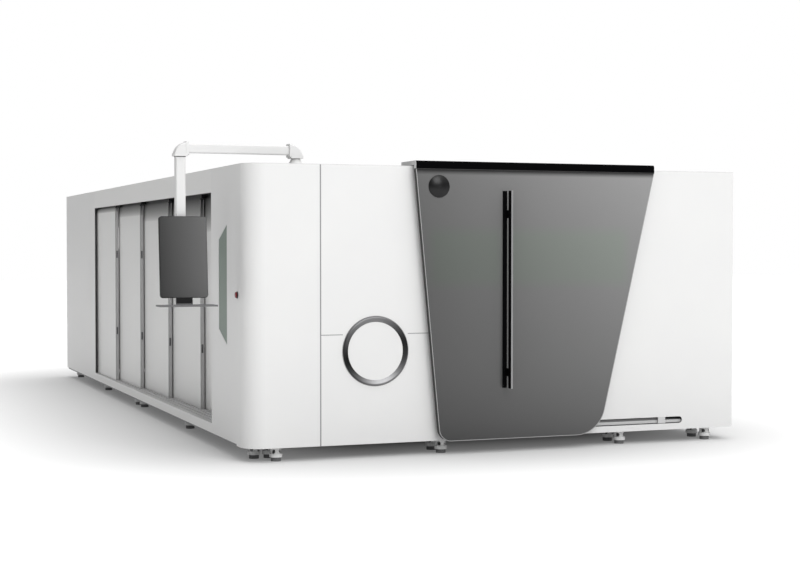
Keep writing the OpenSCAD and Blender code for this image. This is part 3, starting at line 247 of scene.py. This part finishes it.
def between(tree, value, low, high):
    """1 inside the span from low to high, 0 outside it, with a soft edge: the product of two clamped ramps."""
    rise, fall = (add(tree, "ShaderNodeMapRange", {"Value": value, "From Min": at - edge, "From Max": at + edge})
                  for at, edge in ((low, WINDOW_EDGE), (high, -WINDOW_EDGE)))
    return add(tree, "ShaderNodeMath", {0: rise.outputs["Result"], 1: fall.outputs["Result"]},
               operation="MULTIPLY").outputs["Value"]


tinted, tree, shader, place = start("tinted acrylic sheet", Roughness=0.16, IOR=1.49)
axis = add(tree, "ShaderNodeSeparateXYZ", {"Vector": place}).outputs
across = add(tree, "ShaderNodeMapRange", {"Value": axis["X"], "From Min": face_low[0], "From Max": face_high[0]})
up = add(tree, "ShaderNodeMapRange", {"Value": axis["Z"], "From Min": face_low[2], "From Max": face_high[2]})
# Painted shadow of the hood: the sheet's top 40 mm fades to near black.
hood_shade = add(tree, "ShaderNodeMapRange", {"Value": axis["Z"], "From Min": face_high[2] - HOOD_SHADE,
                                          "From Max": face_high[2]})
# Painted reflection: four corner chips run from a dark foot to a paler right-hand head.
foot_reflection, head_reflection = (add(tree, "ShaderNodeMix", {"Factor": across.outputs["Result"], "A": linear(left_chip),
                                                    "B": linear(right_chip)}, data_type="RGBA")
                        for left_chip, right_chip in (("#2b2b2b", "#525252"), ("#626262", "#909090")))
tint = add(tree, "ShaderNodeMix", {"Factor": up.outputs["Result"], "A": foot_reflection.outputs["Result"],
                                   "B": head_reflection.outputs["Result"]}, data_type="RGBA")
colour = add(tree, "ShaderNodeMix", {"Factor": hood_shade.outputs["Result"], "A": tint.outputs["Result"],
                                     "B": linear("#0c0c0c")}, data_type="RGBA").outputs["Result"]
in_height = between(tree, axis["Z"], *WINDOW_Z)
for low, high in ((WINDOW_LEFT, handle_low[0] - WINDOW_GAP), (handle_high[0] + WINDOW_GAP, WINDOW_RIGHT)):
    pane = add(tree, "ShaderNodeMath", {0: between(tree, axis["X"], low, high), 1: in_height}, operation="MULTIPLY")
    colour = add(tree, "ShaderNodeMix", {"Factor": pane.outputs["Value"], "A": colour, "B": WINDOW_GREEN},
                 data_type="RGBA", blend_type="MULTIPLY").outputs["Result"]
dress(tree, shader, Base_Color=colour)
wear(["door_face"], tinted)

# %% [markdown]
# ## Metals with a grain
# The handle's front strip is satin anodised aluminium, and the rails and slats are drawn or cut steel. Both were
# pulled through a tool, which leaves a fine grain along one axis: noise that is stretched along that axis shifts
# their colour and roughness, so that highlights break into faint lines. The real grain is well under 1 mm and is
# drawn here at 4 mm so that it shows.

# %% Grained metals
GRAIN, GRAIN_STRETCH, METAL_SPREAD = 0.004, 0.05, 0.06


def grained_metal(name, chip, shade_chip, rough, stretch):
    """A metal with a fine grain: noise stretched along one axis shifts both its colour and its roughness."""
    material, tree, shader, place = start(name, Metallic=1.0)
    grain_place = add(tree, "ShaderNodeMapping", {"Vector": place, "Scale": stretch})
    grain = add(tree, "ShaderNodeTexNoise", {"Vector": grain_place.outputs["Vector"], "Scale": 1 / GRAIN,
                                             "Detail": 2.0})
    tint = add(tree, "ShaderNodeMix", {"Factor": grain.outputs["Fac"], "A": linear(shade_chip), "B": linear(chip)},
               data_type="RGBA")
    gloss = add(tree, "ShaderNodeMapRange", {"Value": grain.outputs["Fac"], "To Min": rough - METAL_SPREAD,
                                             "To Max": rough + METAL_SPREAD})
    dress(tree, shader, Base_Color=tint.outputs["Result"], Roughness=gloss.outputs["Result"])
    return material


wear(["handle_strips"],
     grained_metal("satin anodised aluminium", "#a2a2a3", "#969697", 0.4, (1, 1, GRAIN_STRETCH)))
wear(["gantry_rails", "scrap_tray", "door_top_rail", "exhaust_spigot", "door_hangers", "gantry_trucks",
      "head_carriage", "pallet_upper", "pallet_lower", "rear_chuck_rotor", "front_chuck_rotor"],
     grained_metal("drawn steel", "#a9aaad", "#97989b", 0.36, (1, GRAIN_STRETCH, 1)))

# %% [markdown]
# ## Turned port ring
# The port ring is turned stainless steel. The tool leaves rings round its axis, drawn here 6 mm apart, and such rings
# always mirror the light as two bright fans and two dark ones. Anisotropic gloss alone would need tangents round the
# axis for that, so the fans are a painted reflection: a cosine of twice the angle round the axis mixes a dark and a
# light steel.

# %% Turned steel
port_low, port_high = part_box("tube_port_ring")
port_x, port_z = (port_low[0] + port_high[0]) / 2, (port_low[2] + port_high[2]) / 2
RING_PITCH, RING_STREAK = 0.006, 0.1
WAVE_LENGTH = 0.314  # what a wave texture of scale 1 takes to repeat
FAN_TURN = math.radians(105)
turned_steel, tree, shader, place = start("turned stainless steel", Metallic=1.0, Anisotropic=0.5)
on_axis = add(tree, "ShaderNodeMapping", {"Vector": place, "Location": (-port_x, 0.0, -port_z), "Scale": (1, 0, 1)})
rings = add(tree, "ShaderNodeTexWave", {"Vector": on_axis.outputs["Vector"], "Scale": WAVE_LENGTH / RING_PITCH,
                                        "Distortion": 0.4}, wave_type="RINGS", rings_direction="SPHERICAL")
spread = add(tree, "ShaderNodeSeparateXYZ", {"Vector": on_axis.outputs["Vector"]}).outputs
angle = add(tree, "ShaderNodeMath", {0: spread["Z"], 1: spread["X"]}, operation="ARCTAN2")
double = add(tree, "ShaderNodeMath", {0: angle.outputs["Value"], 1: 2.0, 2: -2 * FAN_TURN},
             operation="MULTIPLY_ADD")
fan = add(tree, "ShaderNodeMath", {0: double.outputs["Value"]}, operation="COSINE")
shine = add(tree, "ShaderNodeMapRange", {"Value": fan.outputs["Value"], "From Min": -1.0})
streak = add(tree, "ShaderNodeMath", {0: rings.outputs["Fac"], 1: RING_STREAK, 2: shine.outputs["Result"]},
             operation="MULTIPLY_ADD")
# Painted reflection: the fans mix a dark and a light copy of the steel.
tint = add(tree, "ShaderNodeMix", {"Factor": streak.outputs["Value"], "A": linear("#161617"),
                                   "B": linear("#8c8c8d")}, data_type="RGBA")
gloss = add(tree, "ShaderNodeMapRange", {"Value": rings.outputs["Fac"], "To Min": 0.34, "To Max": 0.44})
dress(tree, shader, Base_Color=tint.outputs["Result"], Roughness=gloss.outputs["Result"])
wear(["tube_port_ring"], turned_steel)

# %% [markdown]
# ## Plastics and rubber
# Moulded plastics have a fine spark-eroded grain from the tool, about 0.5 mm, drawn here at 5 mm so that it shows. It
# gives the eye a dull, slightly uneven sheen. Cast iron pads and rubber have a grain of the same kind, so one function
# makes them all.

# %% Plastics
TOOL_GRAIN, CASTING_GRAIN = 0.005, 0.012
GRAIN_BUMP = {"Strength": 0.1, "Distance": 0.0004}
PLASTIC_SPREAD = 0.06


def moulded(name, chip, shade_chip, rough, grain=TOOL_GRAIN, **sockets):
    """A moulded plastic or rubber: a small grain shifts its shade and gloss, and a shallow bump carries it."""
    material, tree, shader, place = start(name, IOR=1.5, **sockets)
    speck = add(tree, "ShaderNodeTexNoise", {"Vector": place, "Scale": 1 / grain, "Detail": 2.0})
    tint = add(tree, "ShaderNodeMix", {"Factor": speck.outputs["Fac"], "A": linear(shade_chip), "B": linear(chip)},
               data_type="RGBA")
    gloss = add(tree, "ShaderNodeMapRange", {"Value": speck.outputs["Fac"], "To Min": rough - PLASTIC_SPREAD,
                                             "To Max": rough + PLASTIC_SPREAD})
    skin = add(tree, "ShaderNodeBump", {"Height": speck.outputs["Fac"], **GRAIN_BUMP})
    dress(tree, shader, Base_Color=tint.outputs["Result"], Roughness=gloss.outputs["Result"],
          Normal=skin.outputs["Normal"])
    return material


wear(["control_panel", "door_guide_shoe", "estop_collar"],
     moulded("moulded dark ABS", "#1f2021", "#1a1b1c", 0.5, Specular_IOR_Level=0.2))
wear(["door_disc"], moulded("gloss black ABS", "#0d0d0e", "#0a0a0b", 0.3, Specular_IOR_Level=0.3))
wear(["estop_button"], moulded("red moulded nylon", "#7d1a1d", "#701619", 0.32))
wear(["levelling_feet"], moulded("cast grey iron pads", "#6f6f70", "#5d5d5e", 0.55, CASTING_GRAIN))
seal_rubber = moulded("black seal rubber", "#2a2a2b", "#232324", 0.6)
grey_sealant = moulded("grey panel sealant", "#8e8e8f", "#858586", 0.6)
pull_nylon = moulded("grey pull nylon", "#6c6c6d", "#646465", 0.5)

# %% [markdown]
# ## Glass
# The pendant's front is a dark glass whose tone changes slowly from left to right, and the side window is green
# safety glass in front of a dark inside. Neither shows anything behind it, so both are opaque here: a true glass
# would cost many samples for the same look. Rolled glass is never quite even, so a slow ripple of about 125 mm shifts
# the gloss.

# %% Glass fronts
RIPPLE, RIPPLE_SPREAD = 0.125, 0.05
screen_low, screen_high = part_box("control_screen")
window_low, window_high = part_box("side_window")


def shaded_glass(name, axis_name, low, high, chip_low, chip_high, rough, **sockets):
    """A dark glass whose tone drifts along one axis, with a slow ripple of roughness from its rolling."""
    material, tree, shader, place = start(name, IOR=1.52, **sockets)
    axis = add(tree, "ShaderNodeSeparateXYZ", {"Vector": place})
    along = add(tree, "ShaderNodeMapRange", {"Value": axis.outputs[axis_name], "From Min": low, "From Max": high})
    tint = add(tree, "ShaderNodeMix", {"Factor": along.outputs["Result"], "A": linear(chip_low),
                                       "B": linear(chip_high)}, data_type="RGBA")
    ripple = add(tree, "ShaderNodeTexNoise", {"Vector": place, "Scale": 1 / RIPPLE})
    gloss = add(tree, "ShaderNodeMapRange", {"Value": ripple.outputs["Fac"], "To Min": rough,
                                             "To Max": rough + RIPPLE_SPREAD})
    dress(tree, shader, Base_Color=tint.outputs["Result"], Roughness=gloss.outputs["Result"])
    return material


wear(["control_screen"], shaded_glass("dark front glass", "X", screen_low[0], screen_high[0], "#242424", "#5a5a5a",
                                      0.35, Specular_IOR_Level=0.35))
wear(["side_window"], shaded_glass("green safety glass", "Z", window_low[2], window_high[2], "#7c8880", "#7c8880",
                                   0.4, Specular_IOR_Level=0.2))

# %% [markdown]
# ## Sections along paths
# The trim is all of one kind: seams, beads, frames and lips are a small half-round section carried along a line or
# round a loop. A bevelled curve could do that too, but its section turns as it likes at the corners. Here one function
# makes the surface as a grid of points, with the two directions of the section given at each point of the path.


# %% Paths and sections
def rounded_loop(corners, radii, steps=8):
    """A loop with round corners: each arc is the slerp between the two spokes from its centre to where it starts."""
    corners, radii = np.asarray(corners, float), np.asarray(radii, float)[:, None]
    spokes = [np.roll(corners, shift, 0) - corners for shift in (1, -1)]
    before, after = (s / np.linalg.norm(s, axis=1, keepdims=True) for s in spokes)
    half = np.arccos(np.sum(before * after, axis=1, keepdims=True)) / 2
    middle = (before + after) / np.linalg.norm(before + after, axis=1, keepdims=True)
    centres = corners + middle * radii / np.sin(half)
    first, last = (corners + way * radii / np.tan(half) - centres for way in (before, after))
    turn, share = math.pi - 2 * half[:, None], np.linspace(0, 1, steps)[None, :, None]
    arcs = (np.sin((1 - share) * turn) * first[:, None] + np.sin(share * turn) * last[:, None]) / np.sin(turn)
    return (centres[:, None] + arcs).reshape(-1, 2)


def rounded_box(x, y, width, height, radius):
    """The rounded loop of an upright rectangle round the point x, y."""
    signs = np.array([(-1, -1), (1, -1), (1, 1), (-1, 1)])
    return rounded_loop(np.array([x, y]) + signs * np.array([width, height]) / 2, [radius] * 4)


def outward(loop):
    """Unit normals of a flat loop: the chord between a point's two neighbours, turned by a right angle."""
    ahead = np.roll(loop, -1, 0) - np.roll(loop, 1, 0)
    ahead /= np.linalg.norm(ahead, axis=1, keepdims=True)
    return np.stack([ahead[:, 1], -ahead[:, 0]], axis=1)


def half_round(width, height, steps=7):
    """A half-ellipse section: (width / 2 cos t, height sin t) for t from 0 to pi."""
    t = np.linspace(0, math.pi, steps)
    return np.stack([width / 2 * np.cos(t), height * np.sin(t)], axis=1)


def swept(section, path, across, out, closed):
    """Carries a section along a path: point (i, j) = path i + u j times across i + v j times out i."""
    path, across, out = (np.asarray(a, float) for a in (path, across, out))
    grid = path[:, None] + section[None, :, :1] * across[:, None] + section[None, :, 1:] * out[:, None]
    n, m = grid.shape[:2]
    i, j = np.meshgrid(np.arange(n if closed else n - 1), np.arange(m), indexing="ij")
    next_i, next_j = (i + 1) % n, (j + 1) % m
    faces = np.stack([i * m + j, i * m + next_j, next_i * m + next_j, next_i * m + j], axis=-1)
    faces = faces.reshape(-1, 4).tolist()
    if not closed:
        faces += [list(range(m)), list(range((n - 1) * m, n * m))]
    return grid.reshape(-1, 3), faces


def straight(section, begin, end, out):
    """A section along one straight line, with its width square to the line and to out."""
    ahead = np.subtract(end, begin) / np.linalg.norm(np.subtract(end, begin))
    return swept(section, [begin, end], [np.cross(out, ahead)] * 2, [out] * 2, False)


# %% [markdown]
# ## From parts to pieces
# Seams on one body, or the two beads of a leaf, were put on in one go and never come off, so they are one piece. The
# parts are joined into one mesh, which then rides on the body that carries it. The faces are turned outwards at the
# end, once for all parts.


# %% Joined pieces
def piece(name, parts, material, body):
    """Joins swept parts into one mesh, turns their faces outwards and lets the piece ride on a body."""
    points, faces, count = [], [], 0
    for part_points, part_faces in parts:
        points.append(part_points)
        faces += [[index + count for index in face] for face in part_faces]
        count += len(part_points)
    mesh = bpy.data.meshes.new(name)
    mesh.from_pydata(np.concatenate(points).tolist(), [], faces)
    shape = bmesh.new()
    shape.from_mesh(mesh)
    bmesh.ops.recalc_face_normals(shape, faces=shape.faces)
    shape.to_mesh(mesh)
    shape.free()
    mesh.materials.append(material)
    made = bpy.data.objects.new(name, mesh)
    bpy.context.collection.objects.link(made)
    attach(made, body)
    print(name, "has", len(parts), "parts and", len(mesh.polygons), "faces")


# %% [markdown]
# ## Seams between the panels
# The wall panels meet edge to edge, and the joints are closed with grey sealant: 10 mm wide at the round corner and
# 6 mm elsewhere. A seam could be a dark line in the coat, but a thin raised bead catches the light as sealant does,
# and it can follow the panels' own boxes.

# %% Seams
corner_low, corner_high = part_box("front_corner_panel")
upper_low, upper_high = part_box("front_upper_panel")
right_low, right_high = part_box("right_panels")
roof_low, roof_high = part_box("roof_panels")
left, front = corner_low[:2]
middle_y = (roof_low[1] + roof_high[1]) / 2
FRONT, RIGHT, UP = (0, -1, 0), (1, 0, 0), (0, 0, 1)
SEAM_RISE = 0.0008
SEAM, CORNER_SEAM = half_round(0.006, SEAM_RISE), half_round(0.010, SEAM_RISE)
seams = [
    (CORNER_SEAM, (corner_high[0], front, corner_low[2]), (corner_high[0], front, corner_high[2]), FRONT),
    (SEAM, (corner_high[0], front, upper_low[2]), (port_low[0], front, upper_low[2]), FRONT),
    (SEAM, (port_high[0], front, upper_low[2]), (upper_high[0], front, upper_low[2]), FRONT),
    (SEAM, (right_high[0], middle_y, right_low[2]), (right_high[0], middle_y, right_high[2]), RIGHT),
    (SEAM, (roof_low[0], middle_y, roof_high[2]), (roof_high[0], middle_y, roof_high[2]), UP),
]
piece("panel_seams", [straight(*seam) for seam in seams], grey_sealant, "root")

# %% [markdown]
# ## Leaf ends
# Each sliding leaf ends in an aluminium profile with two rounded edges and two finger pulls let into it. The rounded
# edges are half-round beads along the leaf's height. Each pull is a grey nylon cup in the profile with a raised frame
# round its mouth: the cup is a short straight part at the bottom of the recess, and the frame is a closed loop.

# %% Leaf end beads and finger pulls
PULL_Z = (0.715, 1.515)
PULL_W, PULL_H, PULL_DEEP, PULL_ROUND = 0.012, 0.070, 0.008, 0.003
CUP_GAP = 0.0005
BEAD_IN, BEAD_FOOT, BEAD_HEAD = 0.004, 0.010, 0.060
BEAD, FRAME = half_round(0.006, 0.002), half_round(0.005, 0.002)
CUP = half_round(PULL_W - 2 * CUP_GAP, 0.0012)
profile_coat = powder_coat("grey anodised profile", "#b8b8b8", "#b0b0b0", 0.4)
for i, leaf in enumerate(LEAVES, 1):
    low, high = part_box(leaf)
    middle, end_y = (low[0] + high[0]) / 2, low[1]
    beads = [straight(BEAD, (x, end_y, low[2] + BEAD_FOOT), (x, end_y, high[2] - BEAD_HEAD), FRONT)
             for x in (low[0] + BEAD_IN, high[0] - BEAD_IN)]
    piece(f"leaf_{i}_end_beads", beads, profile_coat, leaf)
    pulls = []
    for z in PULL_Z:
        loop = rounded_box(middle, z, PULL_W, PULL_H, PULL_ROUND)
        mouth, away = (np.insert(flat, 1, y, axis=1) for flat, y in ((loop, end_y), (outward(loop), 0.0)))
        pulls.append(swept(FRAME, mouth, away, np.tile(FRONT, (len(loop), 1)), True))
        cup_ends = [(middle, end_y + PULL_DEEP, z + way * (PULL_H / 2 - CUP_GAP)) for way in (-1, 1)]
        pulls.append(straight(CUP, *cup_ends, FRONT))
    piece(f"leaf_{i}_finger_pulls", pulls, pull_nylon, leaf)

# %% [markdown]
# ## Seals
# A rubber lip closes the joint below each elbow of the pendant, and a bead of sealant the joint between the port ring
# and the wall. Each is the same half-round section, now carried round a closed loop: the lips stand outwards from a
# level loop, and the bead faces forwards from an upright circle.

# %% Pendant seals
arm_low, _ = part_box("pendant_arm")
drop_low, drop_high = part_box("pendant_drop_tube")
base_low, base_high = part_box("pendant_base")
LIP, LIP_BELOW = half_round(0.006, 0.002), 0.003
DROP_ROUND = 0.010
SWING_WIDTH, SWING_ROUND = 0.067, 0.033


def level_lip(x, y, z, width, radius):
    """A lip round a square with round corners, level at z: it stands outwards, with its width upright."""
    loop = rounded_box(x, y, width, width, radius)
    path, away = (np.insert(flat, 2, height, axis=1) for flat, height in ((loop, z), (outward(loop), 0.0)))
    return swept(LIP, path, np.tile(UP, (len(loop), 1)), away, True)


swing_x, swing_y = (base_low[0] + base_high[0]) / 2, (base_low[1] + base_high[1]) / 2
drop_x, drop_width = (drop_low[0] + drop_high[0]) / 2, drop_high[0] - drop_low[0]
piece("pendant_drop_seal", [level_lip(drop_x, swing_y, arm_low[2] - LIP_BELOW, drop_width, DROP_ROUND)],
      seal_rubber, "pendant_drop_tube")
piece("pendant_swing_seal", [level_lip(swing_x, swing_y, base_high[2] - LIP_BELOW, SWING_WIDTH, SWING_ROUND)],
      seal_rubber, "root")

# %% Port seal
PORT_LIP, PORT_GAP, PORT_STEPS = half_round(0.007, 0.0015), 0.002, 96
port_radius = (port_high[0] - port_low[0]) / 2 + PORT_GAP
spin = np.linspace(0, 2 * math.pi, PORT_STEPS, endpoint=False)
spokes = np.stack([np.cos(spin), np.zeros(PORT_STEPS), np.sin(spin)], axis=1)
port_path = np.array([port_x, front, port_z]) + port_radius * spokes
piece("port_seal", [swept(PORT_LIP, port_path, spokes, np.tile(FRONT, (PORT_STEPS, 1)), True)], grey_sealant, "root")

# %% [markdown]
# ## Studio floor
# A heavy, low machine on a pale floor has a wide soft shadow, and it is darkest underneath. Soft boxes alone give
# only part of that, so the floor's coat carries a painted shadow that darkens close to the machine, and a faint
# painted glow that fades beneath it.
# Both follow the distance to a box with round corners: the length of what lies past the box's core, less the corner
# radius.

# %% Floor
FLOOR = 60.0
SHADE_OUT, SHADE_IN, SHADE_ROUND = 1.8, 0.8, 1.2
GLOW_OUT, GLOW_IN = 0.16, 0.02
floor_mesh = bpy.data.meshes.new("floor")
floor_mesh.from_pydata([(-FLOOR, -FLOOR, 0), (FLOOR, -FLOOR, 0), (FLOOR, FLOOR, 0), (-FLOOR, FLOOR, 0)], [],
                       [(0, 1, 2, 3)])
floor_coat, tree, shader, place = start("pale studio floor", Roughness=0.8, Specular_IOR_Level=0.0,
                                        Emission_Color=(1, 1, 1, 1))
middle = ((left + right_high[0]) / 2, middle_y, 0)
core = ((right_high[0] - left) / 2 - SHADE_ROUND, (roof_high[1] - roof_low[1]) / 2 - SHADE_ROUND, 0)
offset = add(tree, "ShaderNodeVectorMath", {0: place, 1: middle}, operation="SUBTRACT")
apart = add(tree, "ShaderNodeVectorMath", {0: offset.outputs["Vector"]}, operation="ABSOLUTE")
past = add(tree, "ShaderNodeVectorMath", {0: apart.outputs["Vector"], 1: core}, operation="SUBTRACT")
clear = add(tree, "ShaderNodeVectorMath", {0: past.outputs["Vector"], 1: (0, 0, 0)}, operation="MAXIMUM")
reach = add(tree, "ShaderNodeVectorMath", {0: clear.outputs["Vector"]}, operation="LENGTH").outputs["Value"]
inside = add(tree, "ShaderNodeMath", {0: SHADE_ROUND, 1: reach}, operation="SUBTRACT").outputs["Value"]
# Painted shadow and painted glow, both set by the distance to the machine's footprint.
near = add(tree, "ShaderNodeMapRange", {"Value": inside, "From Min": -SHADE_OUT, "From Max": 0.0})
tint = add(tree, "ShaderNodeMix", {"Factor": near.outputs["Result"], "A": linear("#e6e6e6"),
                                   "B": linear("#b6b6b6")}, data_type="RGBA")
under = add(tree, "ShaderNodeMapRange", {"Value": inside, "From Max": SHADE_IN, "To Min": GLOW_OUT,
                                         "To Max": GLOW_IN})
dress(tree, shader, Base_Color=tint.outputs["Result"], Emission_Strength=under.outputs["Result"])
floor_mesh.materials.append(floor_coat)
floor = bpy.data.objects.new("floor", floor_mesh)
bpy.context.collection.objects.link(floor)
print("floor shade from", SHADE_OUT, "m outside to", SHADE_IN, "m inside the walls")

# %% [markdown]
# ## Surround
# A bright ceiling lights the machine from above. The surround falls off with the square of the height towards a dark
# horizon, which is what the glossy door and the ring mirror, and it is darker to the left, so the left side falls to a
# light grey. The camera itself sees plain white behind the machine, and Blender's standard view keeps that white.

# %% Surround
HORIZON, CEILING, SIDE = 0.2, 2.1, 0.55
world = bpy.data.worlds.new("studio")
bpy.context.scene.world = world
world.use_nodes = True
sky = world.node_tree
way = add(sky, "ShaderNodeTexCoord", {}).outputs["Generated"]
towards = add(sky, "ShaderNodeSeparateXYZ", {"Vector": way}).outputs
square = add(sky, "ShaderNodeMath", {0: towards["Z"], 1: 2.0}, operation="POWER").outputs["Value"]
glow = add(sky, "ShaderNodeMapRange", {"Value": square, "To Min": HORIZON, "To Max": CEILING})
side = add(sky, "ShaderNodeMapRange", {"Value": towards["X"], "From Min": -1.0, "To Min": 1 - SIDE,
                                       "To Max": 1 + SIDE})
light = add(sky, "ShaderNodeMath", {0: glow.outputs["Result"], 1: side.outputs["Result"]}, operation="MULTIPLY")
seen = add(sky, "ShaderNodeLightPath", {}).outputs["Is Camera Ray"]
strength = add(sky, "ShaderNodeMix", {"Factor": seen, "A": light.outputs["Value"], "B": 1.0})
sky.links.new(strength.outputs["Result"], sky.nodes["Background"].inputs["Strength"])
sky.nodes["Background"].inputs["Color"].default_value = (1, 1, 1, 1)
bpy.context.scene.view_settings.view_transform = "Standard"
print("surround from", HORIZON, "at the horizon to", CEILING, "overhead")

# %% [markdown]
# ## Light and camera
# One broad soft box stands high in front of the machine, so the front is its brightest side. It is placed so that the
# glossy door doesn't mirror it into the camera. The camera has a long lens at eye height, to the left of the machine,
# and looks slightly down. Both look along their own -Z axis, so one function aims them.


# %% Light and camera
def aim(thing, place, ahead):
    """Puts a lamp or a camera at a place and turns its -Z axis to a direction, with its Y axis up."""
    thing.location = place
    thing.rotation_euler = Vector(ahead).to_track_quat("-Z", "Y").to_euler()
    bpy.context.collection.objects.link(thing)
    print(thing.name, "at", tuple(round(v, 3) for v in thing.location))


KEY_PLACE, KEY_TARGET = Vector((1.5, -14.5, 8.0)), Vector((0.0, -4.0, 1.0))
key_data = bpy.data.lights.new("key", "AREA")
key_data.size, key_data.energy = 6.0, 620
aim(bpy.data.objects.new("key", key_data), KEY_PLACE, KEY_TARGET - KEY_PLACE)

CAMERA_LEFT, CAMERA_BACK, EYE_HEIGHT = 2.9855, 10.9177, 1.585
AHEAD_X, AHEAD_Y = 0.3588, 0.9334
PITCH = math.radians(1.5)
camera_data = bpy.data.cameras.new("camera")
camera_data.sensor_width, camera_data.lens, camera_data.clip_end = 36.0, 69.5, 200.0
camera = bpy.data.objects.new("camera", camera_data)
aim(camera, (left - CAMERA_LEFT, front - CAMERA_BACK, EYE_HEIGHT),
    (AHEAD_X * math.cos(PITCH), AHEAD_Y * math.cos(PITCH), -math.sin(PITCH)))
bpy.context.scene.camera = camera
